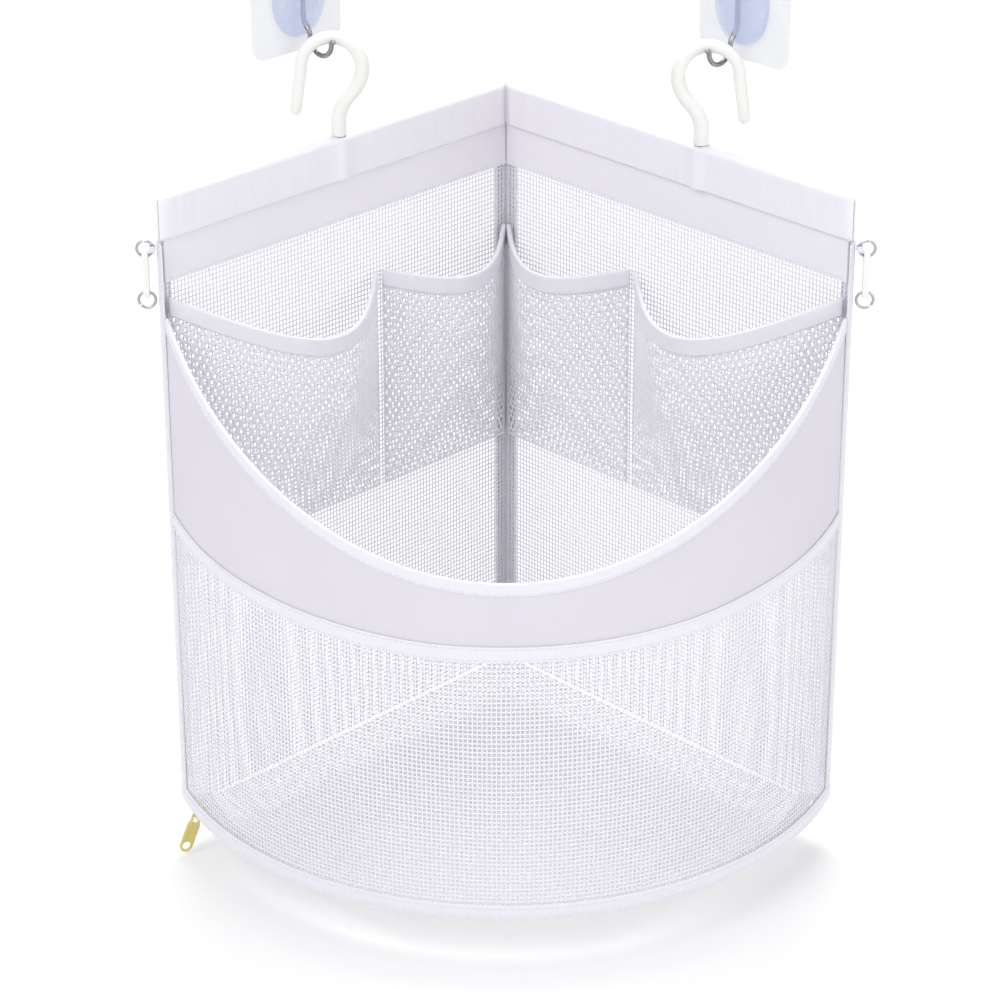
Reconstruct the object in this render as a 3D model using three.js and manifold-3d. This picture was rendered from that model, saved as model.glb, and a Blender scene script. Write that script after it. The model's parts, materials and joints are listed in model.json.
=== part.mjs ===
// Corner bath toy organizer: a sewn net bag that hangs across a room corner from two wall hooks.
// Millimetres, +Z up. The origin lies on the room's corner line, level with the centres of the wall pads.
// +X runs to the right and the room lies towards -Y.
// The left and right walls are the planes Y = X and Y = -X.
import * as THREE from 'three';
import { mergeVertices } from 'three/addons/utils/BufferGeometryUtils.js';
import Module from 'manifold-3d';

const wasm = await Module();
wasm.setup();

// Gap kept between pieces that touch
const TOUCH = 0.3;

// Bag
const PANEL_WIDTH = 242;
const BAG_HEIGHT = 342;
const FRONT_SAGITTA = 120;
const PANEL_STAND_OFF = 24.6;
const BACK_CLOTH = 1.2;
const FRONT_CLOTH = 0.8;
const TAPE = 0.8;

// Top hem, hanger strip and socket
const HEM_HEIGHT = 24;
const HEM_CLOTH = 0.8;
const STRIP_THICKNESS = 4.2;
const STRIP_HEIGHT = 21;
const STRIP_END_INSET = 6;
const SOCKET_DIAMETER = 9;
const SOCKET_HEIGHT = 16;
const PEG_DIAMETER = 4;
const PEG_HEAD_DIAMETER = 6.6;
const PEG_HEAD_HEIGHT = 2.5;

// Hanger hook, drawn in its own upright plane
const HOOK_WIRE = 8;
const HOOK_TIP_WIRE = 6.6;
const HOOK_SHANK = 7;
const HOOK_CROOK_HEIGHT = 37;
const HOOK_CROOK_RADIUS = 15.5;
const HOOK_CROOK_SHIFT = 3;
const HOOK_TIP_HEIGHT = 11;
const HOOK_TIP_SPLAY = 3.5;
const LEFT_HOOK_SHARE = 0.5;
const RIGHT_HOOK_SHARE = 0.58;

// Wall hook
const PAD_SIZE = 60;
const PAD_CORNER = 8;
const PAD_THICKNESS = 1;
const PAD_ABOVE_BAG = 71;
const DOME_DIAMETER = 34;
const DOME_LENGTH = 44;
const DOME_HEIGHT = 10;
const DOME_RIM = 1.6;
const STEEL_WIRE = 2.8;
const STEEL_ROOT_DEPTH = 6;
const STEEL_ROOT_TOP = 6;
const STEEL_ROOT_BOTTOM = -10;
const STEEL_HOOK_RADIUS = 8;
const STEEL_TIP_RISE = 10;
const STEEL_TIP_FLARE = 1.5;
const STEEL_BEND_DROP = 2.2;
const STEEL_CROOK_OFFSET = 5.090505;

// Back panels
const BAND_HEIGHT = 47;
const SIDE_CLEARANCE = 2.6;
const BINDING_LEG = 7;

// Scooped front
const RIM_SIDE_DROP = 57;
const RIM_MIDDLE_DROP = 152;
const RIM_BINDING_HEIGHT = 7;
const WAIST_MIDDLE_DROP = 190;
const WAIST_RISE = 17;
const WAIST_TAPE_HEIGHT = 8.5;
const BOTTOM_HEM_HEIGHT = 9;
const HEM_OVERHANG = 2;
const BINDING_WALL = 0.7;

// Pockets along the back panels
const POCKET_SEAM = 97;
const POCKET_SEAM_GAP = 4;
const POCKET_SIDE_DROP = 62;
const POCKET_SEAM_DROP = 80;
const POCKET_DIP = 9;
const POCKET_BOTTOM_DROP = 205;
const POCKET_CLOTH = 1;
const OUTER_POCKET_BULGE = 40;
const INNER_POCKET_BULGE = 24;
const POCKET_BINDING_HEIGHT = 6.5;

// Coarse openings that stand for the mesh of the nets
const NET_OPEN_SHARE = 0.74;
const NET_CUT_DEPTH = 3;
const FRONT_NET_COLUMNS = 12;
const FRONT_NET_ROWS = 3;
const INNER_NET_COLUMNS = 2;
const OUTER_NET_COLUMNS = 4;
const BACK_NET_ROWS = 3;

// Zip in the front edge of the floor
const ZIP_SLOPE = THREE.MathUtils.degToRad(22);
const ZIP_INSET = 5;
const ZIP_TAPE_WIDTH = 9;
const ZIP_TAPE = 0.8;
const ZIP_ROOM = 0.45;
const TOOTH_PITCH = 10;
const TOOTH_WIDTH = 2.3;
const TOOTH_FLANK = 0.25;
const TOOTH_REACH = 0.9;
const TOOTH_THICKNESS = 2.2;
const TOOTH_ROOT = 1.2;
const TOOTH_CORD = 0.7;
const ZIP_END_MARGIN = 2.5;
const STOP_LENGTH = 2.4;
const STOP_HEIGHT = 2.6;
const FLOOR_CLOTH = 1.2;

// Zip slider and pull
const SLIDER_LENGTH = 10;
const SLIDER_WIDTH = 9;
const SLIDER_NOSE_WIDTH = 7.4;
const SLIDER_PLATE = 1.2;
const SLIDER_ROOM = 0.4;
const SLIDER_FLANGE = 1.1;
const SLIDER_POST_LENGTH = 2.4;
const SLIDER_POST_WIDTH = 3;
const BRIDGE_SPAN = 7.4;
const BRIDGE_OPENING = 2.6;
const BRIDGE_BAR = 1.2;
const BRIDGE_WIDTH = 2.2;
const PULL_LENGTH = 24;
const PULL_WIDTH = 7;
const PULL_NECK_WIDTH = 5.2;
const PULL_THICKNESS = 1.4;
const PULL_EYE_BAR = 1.4;
const PULL_EYE_LENGTH = 5.2;
const PULL_EYE_WIDTH = 3;
const PULL_HOLE_DIAMETER = 3.8;
const PULL_RECESS = 0.3;
const PULL_RECESS_LENGTH = 7;
const PULL_RECESS_WIDTH = 3.6;

// Side loops
const LOOP_DROP = 28;
const LOOP_HEIGHT = 3;
const LOOP_TAPE = 0.8;
const UPPER_RING_DIAMETER = 9.6;
const LOWER_RING_DIAMETER = 10;
const RING_WIRE = 1.5;
const TAB_SPACING = 19;
const TAB_WIDTH = 6;
const TAB_THICKNESS = 3;
const TAB_HOLE_DIAMETER = 3;

// Facets
const ROUND_STEPS = 16;
const CORNER_STEPS = 6;
const BAR_SIDES = 8;
const DOME_STEPS = 20;
const RING_SIDES = 6;
const RING_STEPS = 16;
const FRONT_STEPS = 24;
const POCKET_STEPS = 10;
const POCKET_RISE_STEPS = 5;
const HOOK_STEPS = 28;
const STEEL_STEPS = 24;
const TIP_STEPS = 2;
const TIP_BLUNTNESS = 0.1;
const WELD = 1e-4;

// Worked out from the driving sizes
const HALF_TURN = Math.PI;
const DIAGONAL = Math.SQRT2;
const BAG_TOP = -PAD_ABOVE_BAG;
const CORNER_Y = -PANEL_STAND_OFF * DIAGONAL;
const HALF_CHORD = PANEL_WIDTH / DIAGONAL;
const CHORD_Y = CORNER_Y - HALF_CHORD;
const FRONT_RADIUS = (HALF_CHORD ** 2 + FRONT_SAGITTA ** 2) / (2 * FRONT_SAGITTA);
const FRONT_CENTRE_Y = CHORD_Y - FRONT_SAGITTA + FRONT_RADIUS;
const FRONT_HALF_ANGLE = Math.asin(HALF_CHORD / FRONT_RADIUS);
const FRONT_END_ANGLE = FRONT_HALF_ANGLE - SIDE_CLEARANCE / FRONT_RADIUS;
const BACK_HALF = BACK_CLOTH / 2;
const FRONT_HALF = FRONT_CLOTH / 2;
const HEM_THICKNESS = STRIP_THICKNESS + 2 * (TOUCH + HEM_CLOTH);
const STRIP_TOP = BAG_TOP - HEM_CLOTH - TOUCH;
const STRIP_BOTTOM = STRIP_TOP - STRIP_HEIGHT;
const NET_BOTTOM = BAG_TOP - BAG_HEIGHT + HEM_OVERHANG;
const ZIP_EDGE_Z = NET_BOTTOM - ZIP_ROOM;
const ZIP_RADIUS = FRONT_RADIUS - ZIP_INSET;
const ZIP_TAPE_GAP = TOOTH_ROOT + TOOTH_CORD + ZIP_ROOM;
const FLOOR_RADIUS = ZIP_RADIUS - ZIP_TAPE_GAP - ZIP_TAPE_WIDTH - ZIP_ROOM;
const FLOOR_TOP = zipHeight(FLOOR_RADIUS) - ZIP_TAPE / 2 - TOUCH;
const POCKET_SEAT = BACK_HALF + 2 * TOUCH + BINDING_WALL;
const POCKET_CORNER_START = POCKET_SEAT + POCKET_CLOTH + 2 * TOUCH + BINDING_WALL;

const group = new THREE.Group();

function metal(color, roughness) {
  return new THREE.MeshStandardMaterial({ color, roughness, metalness: 1 });
}

function plain(color, roughness, opacity = 1) {
  const transparent = opacity < 1;
  return new THREE.MeshStandardMaterial({ color, roughness, metalness: 0, opacity, transparent });
}

const makeCloth = () => plain(0xebe8ef, 0.85);
const makeNet = () => plain(0xf1eff4, 0.8, 0.6);
const makeSheer = () => plain(0xe4e1ea, 0.7, 0.8);
const makeTape = () => plain(0xf3f2f7, 0.75);
const makeWhitePlastic = () => plain(0xf1f1ee, 0.35);
const makeClearFilm = () => plain(0xf2f6fa, 0.15, 0.35);
const makeClearDome = () => plain(0xc3cbf0, 0.1, 0.5);
const makeSteel = () => metal(0x9a9a9c, 0.25);
const makeBrass = () => metal(0xd9b54a, 0.3);

function addMesh(parent, name, geometry, material) {
  const mesh = new THREE.Mesh(geometry, material);
  mesh.name = name;
  parent.add(mesh);
  return mesh;
}

// Faces turned outwards, found from the sign of the enclosed volume
function faceOut(geometry) {
  const index = geometry.index.array;
  const point = [new THREE.Vector3(), new THREE.Vector3(), new THREE.Vector3()];
  let volume = 0;
  for (let i = 0; i < index.length; i += 3) {
    point.forEach((p, k) => p.fromBufferAttribute(geometry.attributes.position, index[i + k]));
    volume += point[0].dot(point[1].cross(point[2]));
  }
  if (volume < 0) {
    for (let i = 0; i < index.length; i += 3) {
      [index[i], index[i + 1]] = [index[i + 1], index[i]];
    }
  }
  return geometry;
}

// Closed solid through a row of stations.
// outlineAt gives the flat outline at a station, and place puts a point of it in space.
function loft(stations, outlineAt, place) {
  const outlines = stations.map(outlineAt);
  const count = outlines[0].length;
  const positions = [];
  outlines.forEach((outline, s) => {
    outline.forEach((point) => positions.push(...place(stations[s], point)));
  });
  const index = [];
  for (let s = 0; s + 1 < stations.length; s += 1) {
    for (let i = 0; i < count; i += 1) {
      const a = s * count + i;
      const b = s * count + ((i + 1) % count);
      index.push(a, b, b + count, a, b + count, a + count);
    }
  }
  const last = (stations.length - 1) * count;
  const lastOutline = outlines[outlines.length - 1];
  const asPlanar = (outline) => outline.map(([x, y]) => new THREE.Vector2(x, y));
  const startsClockwise = THREE.ShapeUtils.isClockWise(asPlanar(outlines[0]));
  THREE.ShapeUtils.triangulateShape(asPlanar(outlines[0]), []).forEach(([a, b, c]) => {
    index.push(...(startsClockwise ? [a, b, c] : [a, c, b]));
  });
  THREE.ShapeUtils.triangulateShape(asPlanar(lastOutline), []).forEach(([a, b, c]) => {
    index.push(...(startsClockwise ? [last + a, last + c, last + b] : [last + a, last + b, last + c]));
  });
  const geometry = new THREE.BufferGeometry();
  geometry.setAttribute('position', new THREE.Float32BufferAttribute(positions, 3));
  geometry.setIndex(index);
  return faceOut(geometry);
}

function spread(from, to, steps) {
  return Array.from({ length: steps + 1 }, (_, i) => from + ((to - from) * i) / steps);
}

function rectangle(x0, x1, y0, y1) {
  return [[x0, y0], [x1, y0], [x1, y1], [x0, y1]];
}

function toSolid(geometry) {
  const bare = geometry.clone();
  bare.deleteAttribute('normal');
  bare.deleteAttribute('uv');
  const merged = mergeVertices(bare, WELD);
  return new wasm.Manifold(new wasm.Mesh({
    numProp: 3,
    vertProperties: new Float32Array(merged.attributes.position.array),
    triVerts: new Uint32Array(merged.index.array),
  }));
}

function toGeometry(solid) {
  const mesh = solid.getMesh();
  const geometry = new THREE.BufferGeometry();
  geometry.setAttribute('position', new THREE.Float32BufferAttribute(mesh.vertProperties, 3));
  geometry.setIndex(Array.from(mesh.triVerts));
  geometry.computeVertexNormals();
  return geometry;
}

function joinAll(first, ...others) {
  return toGeometry(others.reduce((whole, next) => whole.add(toSolid(next)), toSolid(first)));
}

function cutAll(first, ...others) {
  return toGeometry(others.reduce((whole, next) => whole.subtract(toSolid(next)), toSolid(first)));
}

// Upright cylinder between two heights
function post(diameter, low, high, steps = ROUND_STEPS) {
  const geometry = new THREE.CylinderGeometry(diameter / 2, diameter / 2, high - low, steps);
  geometry.rotateX(HALF_TURN / 2);
  geometry.translate(0, 0, (low + high) / 2);
  return geometry;
}

function block(x0, x1, y0, y1, z0, z1) {
  const geometry = new THREE.BoxGeometry(x1 - x0, y1 - y0, z1 - z0);
  geometry.translate((x0 + x1) / 2, (y0 + y1) / 2, (z0 + z1) / 2);
  return geometry;
}

// Plan outline pulled upright between two heights
function upright(outline, low, high) {
  const shape = new THREE.Shape(outline.map(([x, y]) => new THREE.Vector2(x, y)));
  const geometry = new THREE.ExtrudeGeometry(shape, { depth: high - low, bevelEnabled: false });
  geometry.translate(0, 0, low);
  return geometry;
}

// Point of a back panel: along it from the corner line, off it into the bag, and height
function onPanel(side, along, off, z) {
  return [(side * (along - off)) / DIAGONAL, CORNER_Y - (along + off) / DIAGONAL, z];
}

// Point of the bag's front: angle about the front's upright axis, distance from that axis, and height
function onFront(angle, radius, z) {
  return [radius * Math.sin(angle), FRONT_CENTRE_Y - radius * Math.cos(angle), z];
}

// Panel strip with a mitred end at the room corner; its outline holds points [off, z]
function panelStrip(side, outline, end) {
  const stations = ['corner', 'side'];
  return loft(stations, () => outline, (station, [off, z]) => {
    const along = station === 'corner' ? off + TOUCH : end;
    return onPanel(side, along, off, z);
  });
}

// Angles round the front up to an end; all of the front's pieces share the same facets
function frontAngles(end) {
  const shared = spread(-FRONT_HALF_ANGLE, FRONT_HALF_ANGLE, FRONT_STEPS);
  return [-end, ...shared.filter((angle) => Math.abs(angle) < end - WELD), end];
}

// Strip round the front between two height laws
function frontStrip(end, inner, outer, lowAt, highAt) {
  return loft(
    frontAngles(end),
    (angle) => rectangle(FRONT_RADIUS + inner, FRONT_RADIUS + outer, lowAt(angle), highAt(angle)),
    (angle, [radius, z]) => onFront(angle, radius, z),
  );
}

function scoop(angle) {
  return 1 - Math.cos((angle / FRONT_HALF_ANGLE) * (HALF_TURN / 2));
}

function rimHeight(angle) {
  return BAG_TOP - RIM_MIDDLE_DROP + (RIM_MIDDLE_DROP - RIM_SIDE_DROP) * scoop(angle);
}

function waistHeight(angle) {
  return BAG_TOP - WAIST_MIDDLE_DROP + WAIST_RISE * scoop(angle);
}

// Height of the zip's sloped middle surface
function zipHeight(radius) {
  return ZIP_EDGE_Z - ZIP_TAPE / 2 - (FRONT_RADIUS - radius) * Math.tan(ZIP_SLOPE);
}

// Point of the zip: angle and distance as on the front, and lift off its sloped middle surface
function onZip(angle, radius, lift) {
  const height = zipHeight(radius) + lift * Math.cos(ZIP_SLOPE);
  return onFront(angle, radius - lift * Math.sin(ZIP_SLOPE), height);
}

// Folded binding over an edge of the given cloth: a channel that is open below.
// Its points are [off, z], counted from the channel's top.
function bindingOutline(cloth, height) {
  const slot = cloth / 2 + TOUCH;
  const outer = slot + BINDING_WALL;
  return [
    [-outer, -height], [-outer, 0], [outer, 0], [outer, -height],
    [slot, -height], [slot, -BINDING_WALL], [-slot, -BINDING_WALL], [-slot, -height],
  ];
}

// Corner of two walls that are both moved outwards, from the point where their middle surfaces meet
function foldCorner(walls, extra) {
  const [first, second] = walls;
  const a = first.offset + extra;
  const b = second.offset + extra;
  const determinant = first.out.x * second.out.y - first.out.y * second.out.x;
  return new THREE.Vector2(
    (a * second.out.y - b * first.out.y) / determinant,
    (b * first.out.x - a * second.out.x) / determinant,
  );
}

// Tape folded round an upright edge where two walls meet at a point of the plan
function foldedTape(point, walls, low, high) {
  const atOffset = (extra) => foldCorner(walls, extra).add(point);
  const legEnd = (wall, extra) => point.clone()
    .addScaledVector(wall.out, wall.offset + extra)
    .addScaledVector(wall.run, BINDING_LEG);
  const outline = [
    legEnd(walls[0], 0), atOffset(0), legEnd(walls[1], 0),
    legEnd(walls[1], TAPE), atOffset(TAPE), legEnd(walls[0], TAPE),
  ];
  return upright(outline.map((p) => [p.x, p.y]), low, high);
}

// Round bar along a flat path of points [x, z], thinner towards its end
function roundBar(path, diameterAt, steps) {
  const sides = spread(0, 2 * HALF_TURN, BAR_SIDES).slice(0, BAR_SIDES);
  const points = path.getSpacedPoints(steps);
  const stations = points.map((point, i) => {
    const before = points[Math.max(i - 1, 0)];
    const after = points[Math.min(i + 1, steps)];
    const tangent = after.clone().sub(before).normalize();
    return { point, across: new THREE.Vector2(-tangent.y, tangent.x), share: i / steps };
  });
  return loft(
    stations,
    ({ share }) => {
      const radius = diameterAt(share) / 2;
      return sides.map((angle) => [radius * Math.cos(angle), radius * Math.sin(angle)]);
    },
    ({ point, across }, [u, v]) => [point.x + across.x * u, v, point.y + across.y * u],
  );
}

// Share of a bar's diameter that is left near its end, so that the end is round
function roundedEnd(share, steps) {
  const left = ((1 - share) * steps) / TIP_STEPS;
  return left >= 1 ? 1 : Math.sqrt(1 - (1 - Math.max(left, TIP_BLUNTNESS)) ** 2);
}

// Distance of a hanger hook along its back panel
function hookAlong(side) {
  return PANEL_WIDTH * (side < 0 ? LEFT_HOOK_SHARE : RIGHT_HOOK_SHARE);
}

// Distance of a wall pad from the corner line in X and in Y, so that its wire passes under the hook's crook
function padAcross(side) {
  const hookX = hookAlong(side) / DIAGONAL;
  const hookY = CORNER_Y - hookX;
  return (hookX - hookY + HOOK_CROOK_SHIFT + STEEL_CROOK_OFFSET) / 2;
}

// Wall hook: pad, dome and bent wire, built with the wall as the plane X = 0 and the room at +X
function steelPath(extraRoot = 0) {
  const bottom = steelBottom();
  const bend = bottom + STEEL_HOOK_RADIUS;
  const reach = steelReach();
  const path = new THREE.Path();
  path.moveTo(STEEL_ROOT_DEPTH, STEEL_ROOT_TOP + extraRoot);
  path.lineTo(STEEL_ROOT_DEPTH, STEEL_ROOT_BOTTOM);
  const back = reach - STEEL_HOOK_RADIUS;
  const middle = (STEEL_ROOT_BOTTOM + bend) / 2;
  path.bezierCurveTo(STEEL_ROOT_DEPTH, middle, back, middle, back, bend);
  path.absarc(reach, bend, STEEL_HOOK_RADIUS, HALF_TURN, 2 * HALF_TURN, false);
  path.lineTo(reach + STEEL_HOOK_RADIUS + STEEL_TIP_FLARE, bottom + STEEL_TIP_RISE);
  return path;
}

// Distance off the wall at which the wire's bend meets the plane of the hanger hook
function steelReach() {
  return (-CORNER_Y - HOOK_CROOK_SHIFT - STEEL_CROOK_OFFSET) / DIAGONAL;
}

// Lowest point of the wire's middle line, under the crook of the hanger hook
function steelBottom() {
  const room = HOOK_CROOK_RADIUS - HOOK_WIRE / 2 - STEEL_WIRE / 2 - 2 * TOUCH;
  const rise = Math.sqrt(room ** 2 - STEEL_CROOK_OFFSET ** 2);
  return BAG_TOP + HOOK_CROOK_HEIGHT + rise - STEEL_BEND_DROP;
}

function wallHook(side, sideName) {
  const wall = new THREE.Group();
  const across = padAcross(side);
  wall.position.set(side * across, -across, 0);
  wall.rotation.z = side < 0 ? -HALF_TURN / 4 : (-3 * HALF_TURN) / 4;
  group.add(wall);

  const half = PAD_SIZE / 2;
  const shape = new THREE.Shape();
  shape.absarc(half - PAD_CORNER, half - PAD_CORNER, PAD_CORNER, 0, HALF_TURN / 2, false);
  shape.absarc(PAD_CORNER - half, half - PAD_CORNER, PAD_CORNER, HALF_TURN / 2, HALF_TURN, false);
  shape.absarc(PAD_CORNER - half, PAD_CORNER - half, PAD_CORNER, HALF_TURN, 1.5 * HALF_TURN, false);
  shape.absarc(half - PAD_CORNER, PAD_CORNER - half, PAD_CORNER, 1.5 * HALF_TURN, 2 * HALF_TURN, false);
  const pad = new THREE.ExtrudeGeometry(shape, {
    depth: PAD_THICKNESS,
    bevelEnabled: false,
    curveSegments: CORNER_STEPS,
  });
  pad.rotateX(HALF_TURN / 2);
  pad.rotateZ(HALF_TURN / 2);
  addMesh(wall, `adhesive_pad_${sideName}`, pad, makeClearFilm());

  const crown = spread(0, HALF_TURN / 2, CORNER_STEPS).map((a) => new THREE.Vector2(
    (DOME_DIAMETER / 2) * Math.cos(a),
    DOME_RIM + (DOME_HEIGHT - DOME_RIM) * Math.sin(a),
  ));
  crown[crown.length - 1].x = 0;
  const profile = [new THREE.Vector2(0, 0), new THREE.Vector2(DOME_DIAMETER / 2, 0), ...crown];
  const dome = new THREE.LatheGeometry(profile, DOME_STEPS);
  dome.rotateZ(-HALF_TURN / 2);
  dome.scale(1, 1, DOME_LENGTH / DOME_DIAMETER);
  dome.translate(PAD_THICKNESS + TOUCH, 0, 0);
  const channel = roundBar(steelPath(TOUCH), () => STEEL_WIRE + 2 * TOUCH, STEEL_STEPS);
  addMesh(wall, `clear_dome_${sideName}`, cutAll(dome, channel), makeClearDome());

  const wire = roundBar(steelPath(), (share) => STEEL_WIRE * roundedEnd(share, STEEL_STEPS), STEEL_STEPS);
  addMesh(wall, `steel_hook_${sideName}`, wire, makeSteel());
}

// Hanger hook with its peg; the swivel axis is the upright line X = Y = 0 and the crook opens to -X
function hangerHookGeometry() {
  const path = new THREE.Path();
  const foot = BAG_TOP + TOUCH;
  const centre = BAG_TOP + HOOK_CROOK_HEIGHT;
  const near = HOOK_CROOK_RADIUS - HOOK_CROOK_SHIFT;
  path.moveTo(0, foot);
  path.lineTo(0, foot + HOOK_SHANK);
  const swing = (HOOK_CROOK_HEIGHT - HOOK_SHANK) / 2;
  path.bezierCurveTo(0, foot + HOOK_SHANK + swing, near, centre - swing, near, centre);
  path.absarc(-HOOK_CROOK_SHIFT, centre, HOOK_CROOK_RADIUS, 0, HALF_TURN, false);
  const far = -HOOK_CROOK_SHIFT - HOOK_CROOK_RADIUS;
  path.lineTo(far - HOOK_TIP_SPLAY, BAG_TOP + HOOK_TIP_HEIGHT);
  const wireAt = (share) => {
    const taper = HOOK_WIRE + (HOOK_TIP_WIRE - HOOK_WIRE) * share;
    return taper * roundedEnd(share, HOOK_STEPS);
  };
  const bar = roundBar(path, wireAt, HOOK_STEPS);
  const headTop = STRIP_TOP - SOCKET_HEIGHT - TOUCH;
  const peg = post(PEG_DIAMETER, headTop - PEG_HEAD_HEIGHT / 2, foot + HOOK_SHANK / 2);
  const head = post(PEG_HEAD_DIAMETER, headTop - PEG_HEAD_HEIGHT, headTop);
  return joinAll(bar, peg, head);
}

// Top hem, hanger strip and hanger hook of one back panel
function hangingGear(side, sideName) {
  const [hookX, hookY] = onPanel(side, hookAlong(side), 0, 0);
  const outer = HEM_THICKNESS / 2;
  const inner = outer - HEM_CLOTH;
  const low = BAG_TOP - HEM_HEIGHT;
  const hemWhole = panelStrip(side, rectangle(-outer, outer, low, BAG_TOP), PANEL_WIDTH);
  const slotOutline = rectangle(-inner, inner, low - HEM_CLOTH, BAG_TOP - HEM_CLOTH);
  const hemSlot = panelStrip(side, slotOutline, PANEL_WIDTH + HEM_CLOTH);
  const sleeveBore = SOCKET_DIAMETER + 2 * TOUCH;
  const atHook = (geometry) => geometry.translate(hookX, hookY, 0);
  const sleeve = atHook(post(sleeveBore + 2 * HEM_CLOTH, low, BAG_TOP));
  const sleeveHollow = atHook(post(sleeveBore, low - HEM_CLOTH, BAG_TOP - HEM_CLOTH));
  const pegHole = atHook(post(PEG_DIAMETER + 2 * TOUCH, low, BAG_TOP + HEM_CLOTH));
  const hem = cutAll(joinAll(hemWhole, sleeve), hemSlot, sleeveHollow, pegHole);
  addMesh(group, `top_hem_${sideName}`, hem, makeCloth());

  const stripHalf = STRIP_THICKNESS / 2;
  const stripEnd = PANEL_WIDTH - STRIP_END_INSET;
  const bar = loft(
    [STRIP_END_INSET, stripEnd],
    () => rectangle(-stripHalf, stripHalf, STRIP_BOTTOM, STRIP_TOP),
    (along, [off, z]) => onPanel(side, along, off, z),
  );
  const socketLow = STRIP_TOP - SOCKET_HEIGHT;
  const boss = atHook(post(SOCKET_DIAMETER, socketLow, STRIP_TOP));
  const bore = atHook(post(PEG_DIAMETER + 2 * TOUCH, STRIP_BOTTOM - TOUCH, STRIP_TOP + TOUCH));
  const headRoom = atHook(post(PEG_HEAD_DIAMETER + 2 * TOUCH, STRIP_BOTTOM - TOUCH, socketLow));
  const strip = cutAll(joinAll(bar, boss), bore, headRoom);
  addMesh(group, `hanger_strip_${sideName}`, strip, makeWhitePlastic());

  const swivel = new THREE.Group();
  swivel.position.set(hookX, hookY, 0);
  group.add(swivel);
  const hook = hangerHookGeometry();
  if (side > 0) {
    hook.rotateZ(HALF_TURN);
  }
  addMesh(swivel, `hanger_hook_${sideName}`, hook, makeWhitePlastic());
}

// Cells of a grid between two rows of lines, each trimmed to its opening: [across0, across1, up0, up1]
function openCells(acrossLines, upLines) {
  const trim = (1 - NET_OPEN_SHARE) / 2;
  const opened = (lines, i) => {
    const step = lines[i + 1] - lines[i];
    return [lines[i] + trim * step, lines[i + 1] - trim * step];
  };
  const cells = [];
  for (let i = 0; i + 1 < acrossLines.length; i += 1) {
    for (let j = 0; j + 1 < upLines.length; j += 1) {
      cells.push([...opened(acrossLines, i), ...opened(upLines, j)]);
    }
  }
  return cells;
}

// Solid band and net of one back panel
function backPanel(side, sideName) {
  const end = PANEL_WIDTH - SIDE_CLEARANCE;
  const bandTop = STRIP_BOTTOM - TOUCH;
  const bandLow = BAG_TOP - BAND_HEIGHT;
  const band = panelStrip(side, rectangle(-BACK_HALF, BACK_HALF, bandLow, bandTop), end);
  addMesh(group, `back_band_${sideName}`, band, makeCloth());
  const netLow = FLOOR_TOP + TOUCH;
  const pocketLow = BAG_TOP - POCKET_BOTTOM_DROP;
  const sheet = panelStrip(side, rectangle(-BACK_HALF, BACK_HALF, netLow, bandLow - TOUCH), end);
  const across = spread(0, POCKET_SEAM, INNER_NET_COLUMNS)
    .concat(spread(POCKET_SEAM, PANEL_WIDTH, OUTER_NET_COLUMNS).slice(1));
  const up = spread(netLow, pocketLow, BACK_NET_ROWS)
    .concat(spread(pocketLow, bandLow, BACK_NET_ROWS).slice(1));
  const cuts = openCells(across, up).map(([near, far, low, high]) => loft(
    [near, far],
    () => rectangle(-NET_CUT_DEPTH, NET_CUT_DEPTH, low, high),
    (along, [off, z]) => onPanel(side, along, off, z),
  ));
  addMesh(group, `back_net_${sideName}`, cutAll(sheet, ...cuts), makeNet());
}

// Directions of the two walls that meet at a side edge, and of those that meet at the room corner
function sideWalls(side) {
  const backOut = new THREE.Vector2(side / DIAGONAL, 1 / DIAGONAL);
  const backRun = new THREE.Vector2(-side / DIAGONAL, 1 / DIAGONAL);
  const frontOut = new THREE.Vector2(side * Math.sin(FRONT_HALF_ANGLE), -Math.cos(FRONT_HALF_ANGLE));
  const frontRun = new THREE.Vector2(-side * Math.cos(FRONT_HALF_ANGLE), -Math.sin(FRONT_HALF_ANGLE));
  return [
    { out: backOut, run: backRun, offset: BACK_HALF + TOUCH },
    { out: frontOut, run: frontRun, offset: FRONT_HALF + TOUCH },
  ];
}

function seamBindings() {
  const top = BAG_TOP - HEM_HEIGHT - TOUCH;
  const low = FLOOR_TOP + TOUCH;
  const cornerWalls = [-1, 1].map((side) => ({
    out: new THREE.Vector2(side / DIAGONAL, 1 / DIAGONAL),
    run: new THREE.Vector2(side / DIAGONAL, -1 / DIAGONAL),
    offset: BACK_HALF + TOUCH,
  }));
  const corner = foldedTape(new THREE.Vector2(0, CORNER_Y), cornerWalls, low, top);
  addMesh(group, 'corner_binding', corner, makeTape());
  const sideLow = BAG_TOP - BAG_HEIGHT + BOTTOM_HEM_HEIGHT + TOUCH;
  [[-1, 'left'], [1, 'right']].forEach(([side, sideName]) => {
    const edge = new THREE.Vector2(side * HALF_CHORD, CHORD_Y);
    addMesh(group, `side_binding_${sideName}`, foldedTape(edge, sideWalls(side), sideLow, top), makeTape());
  });
}

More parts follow.
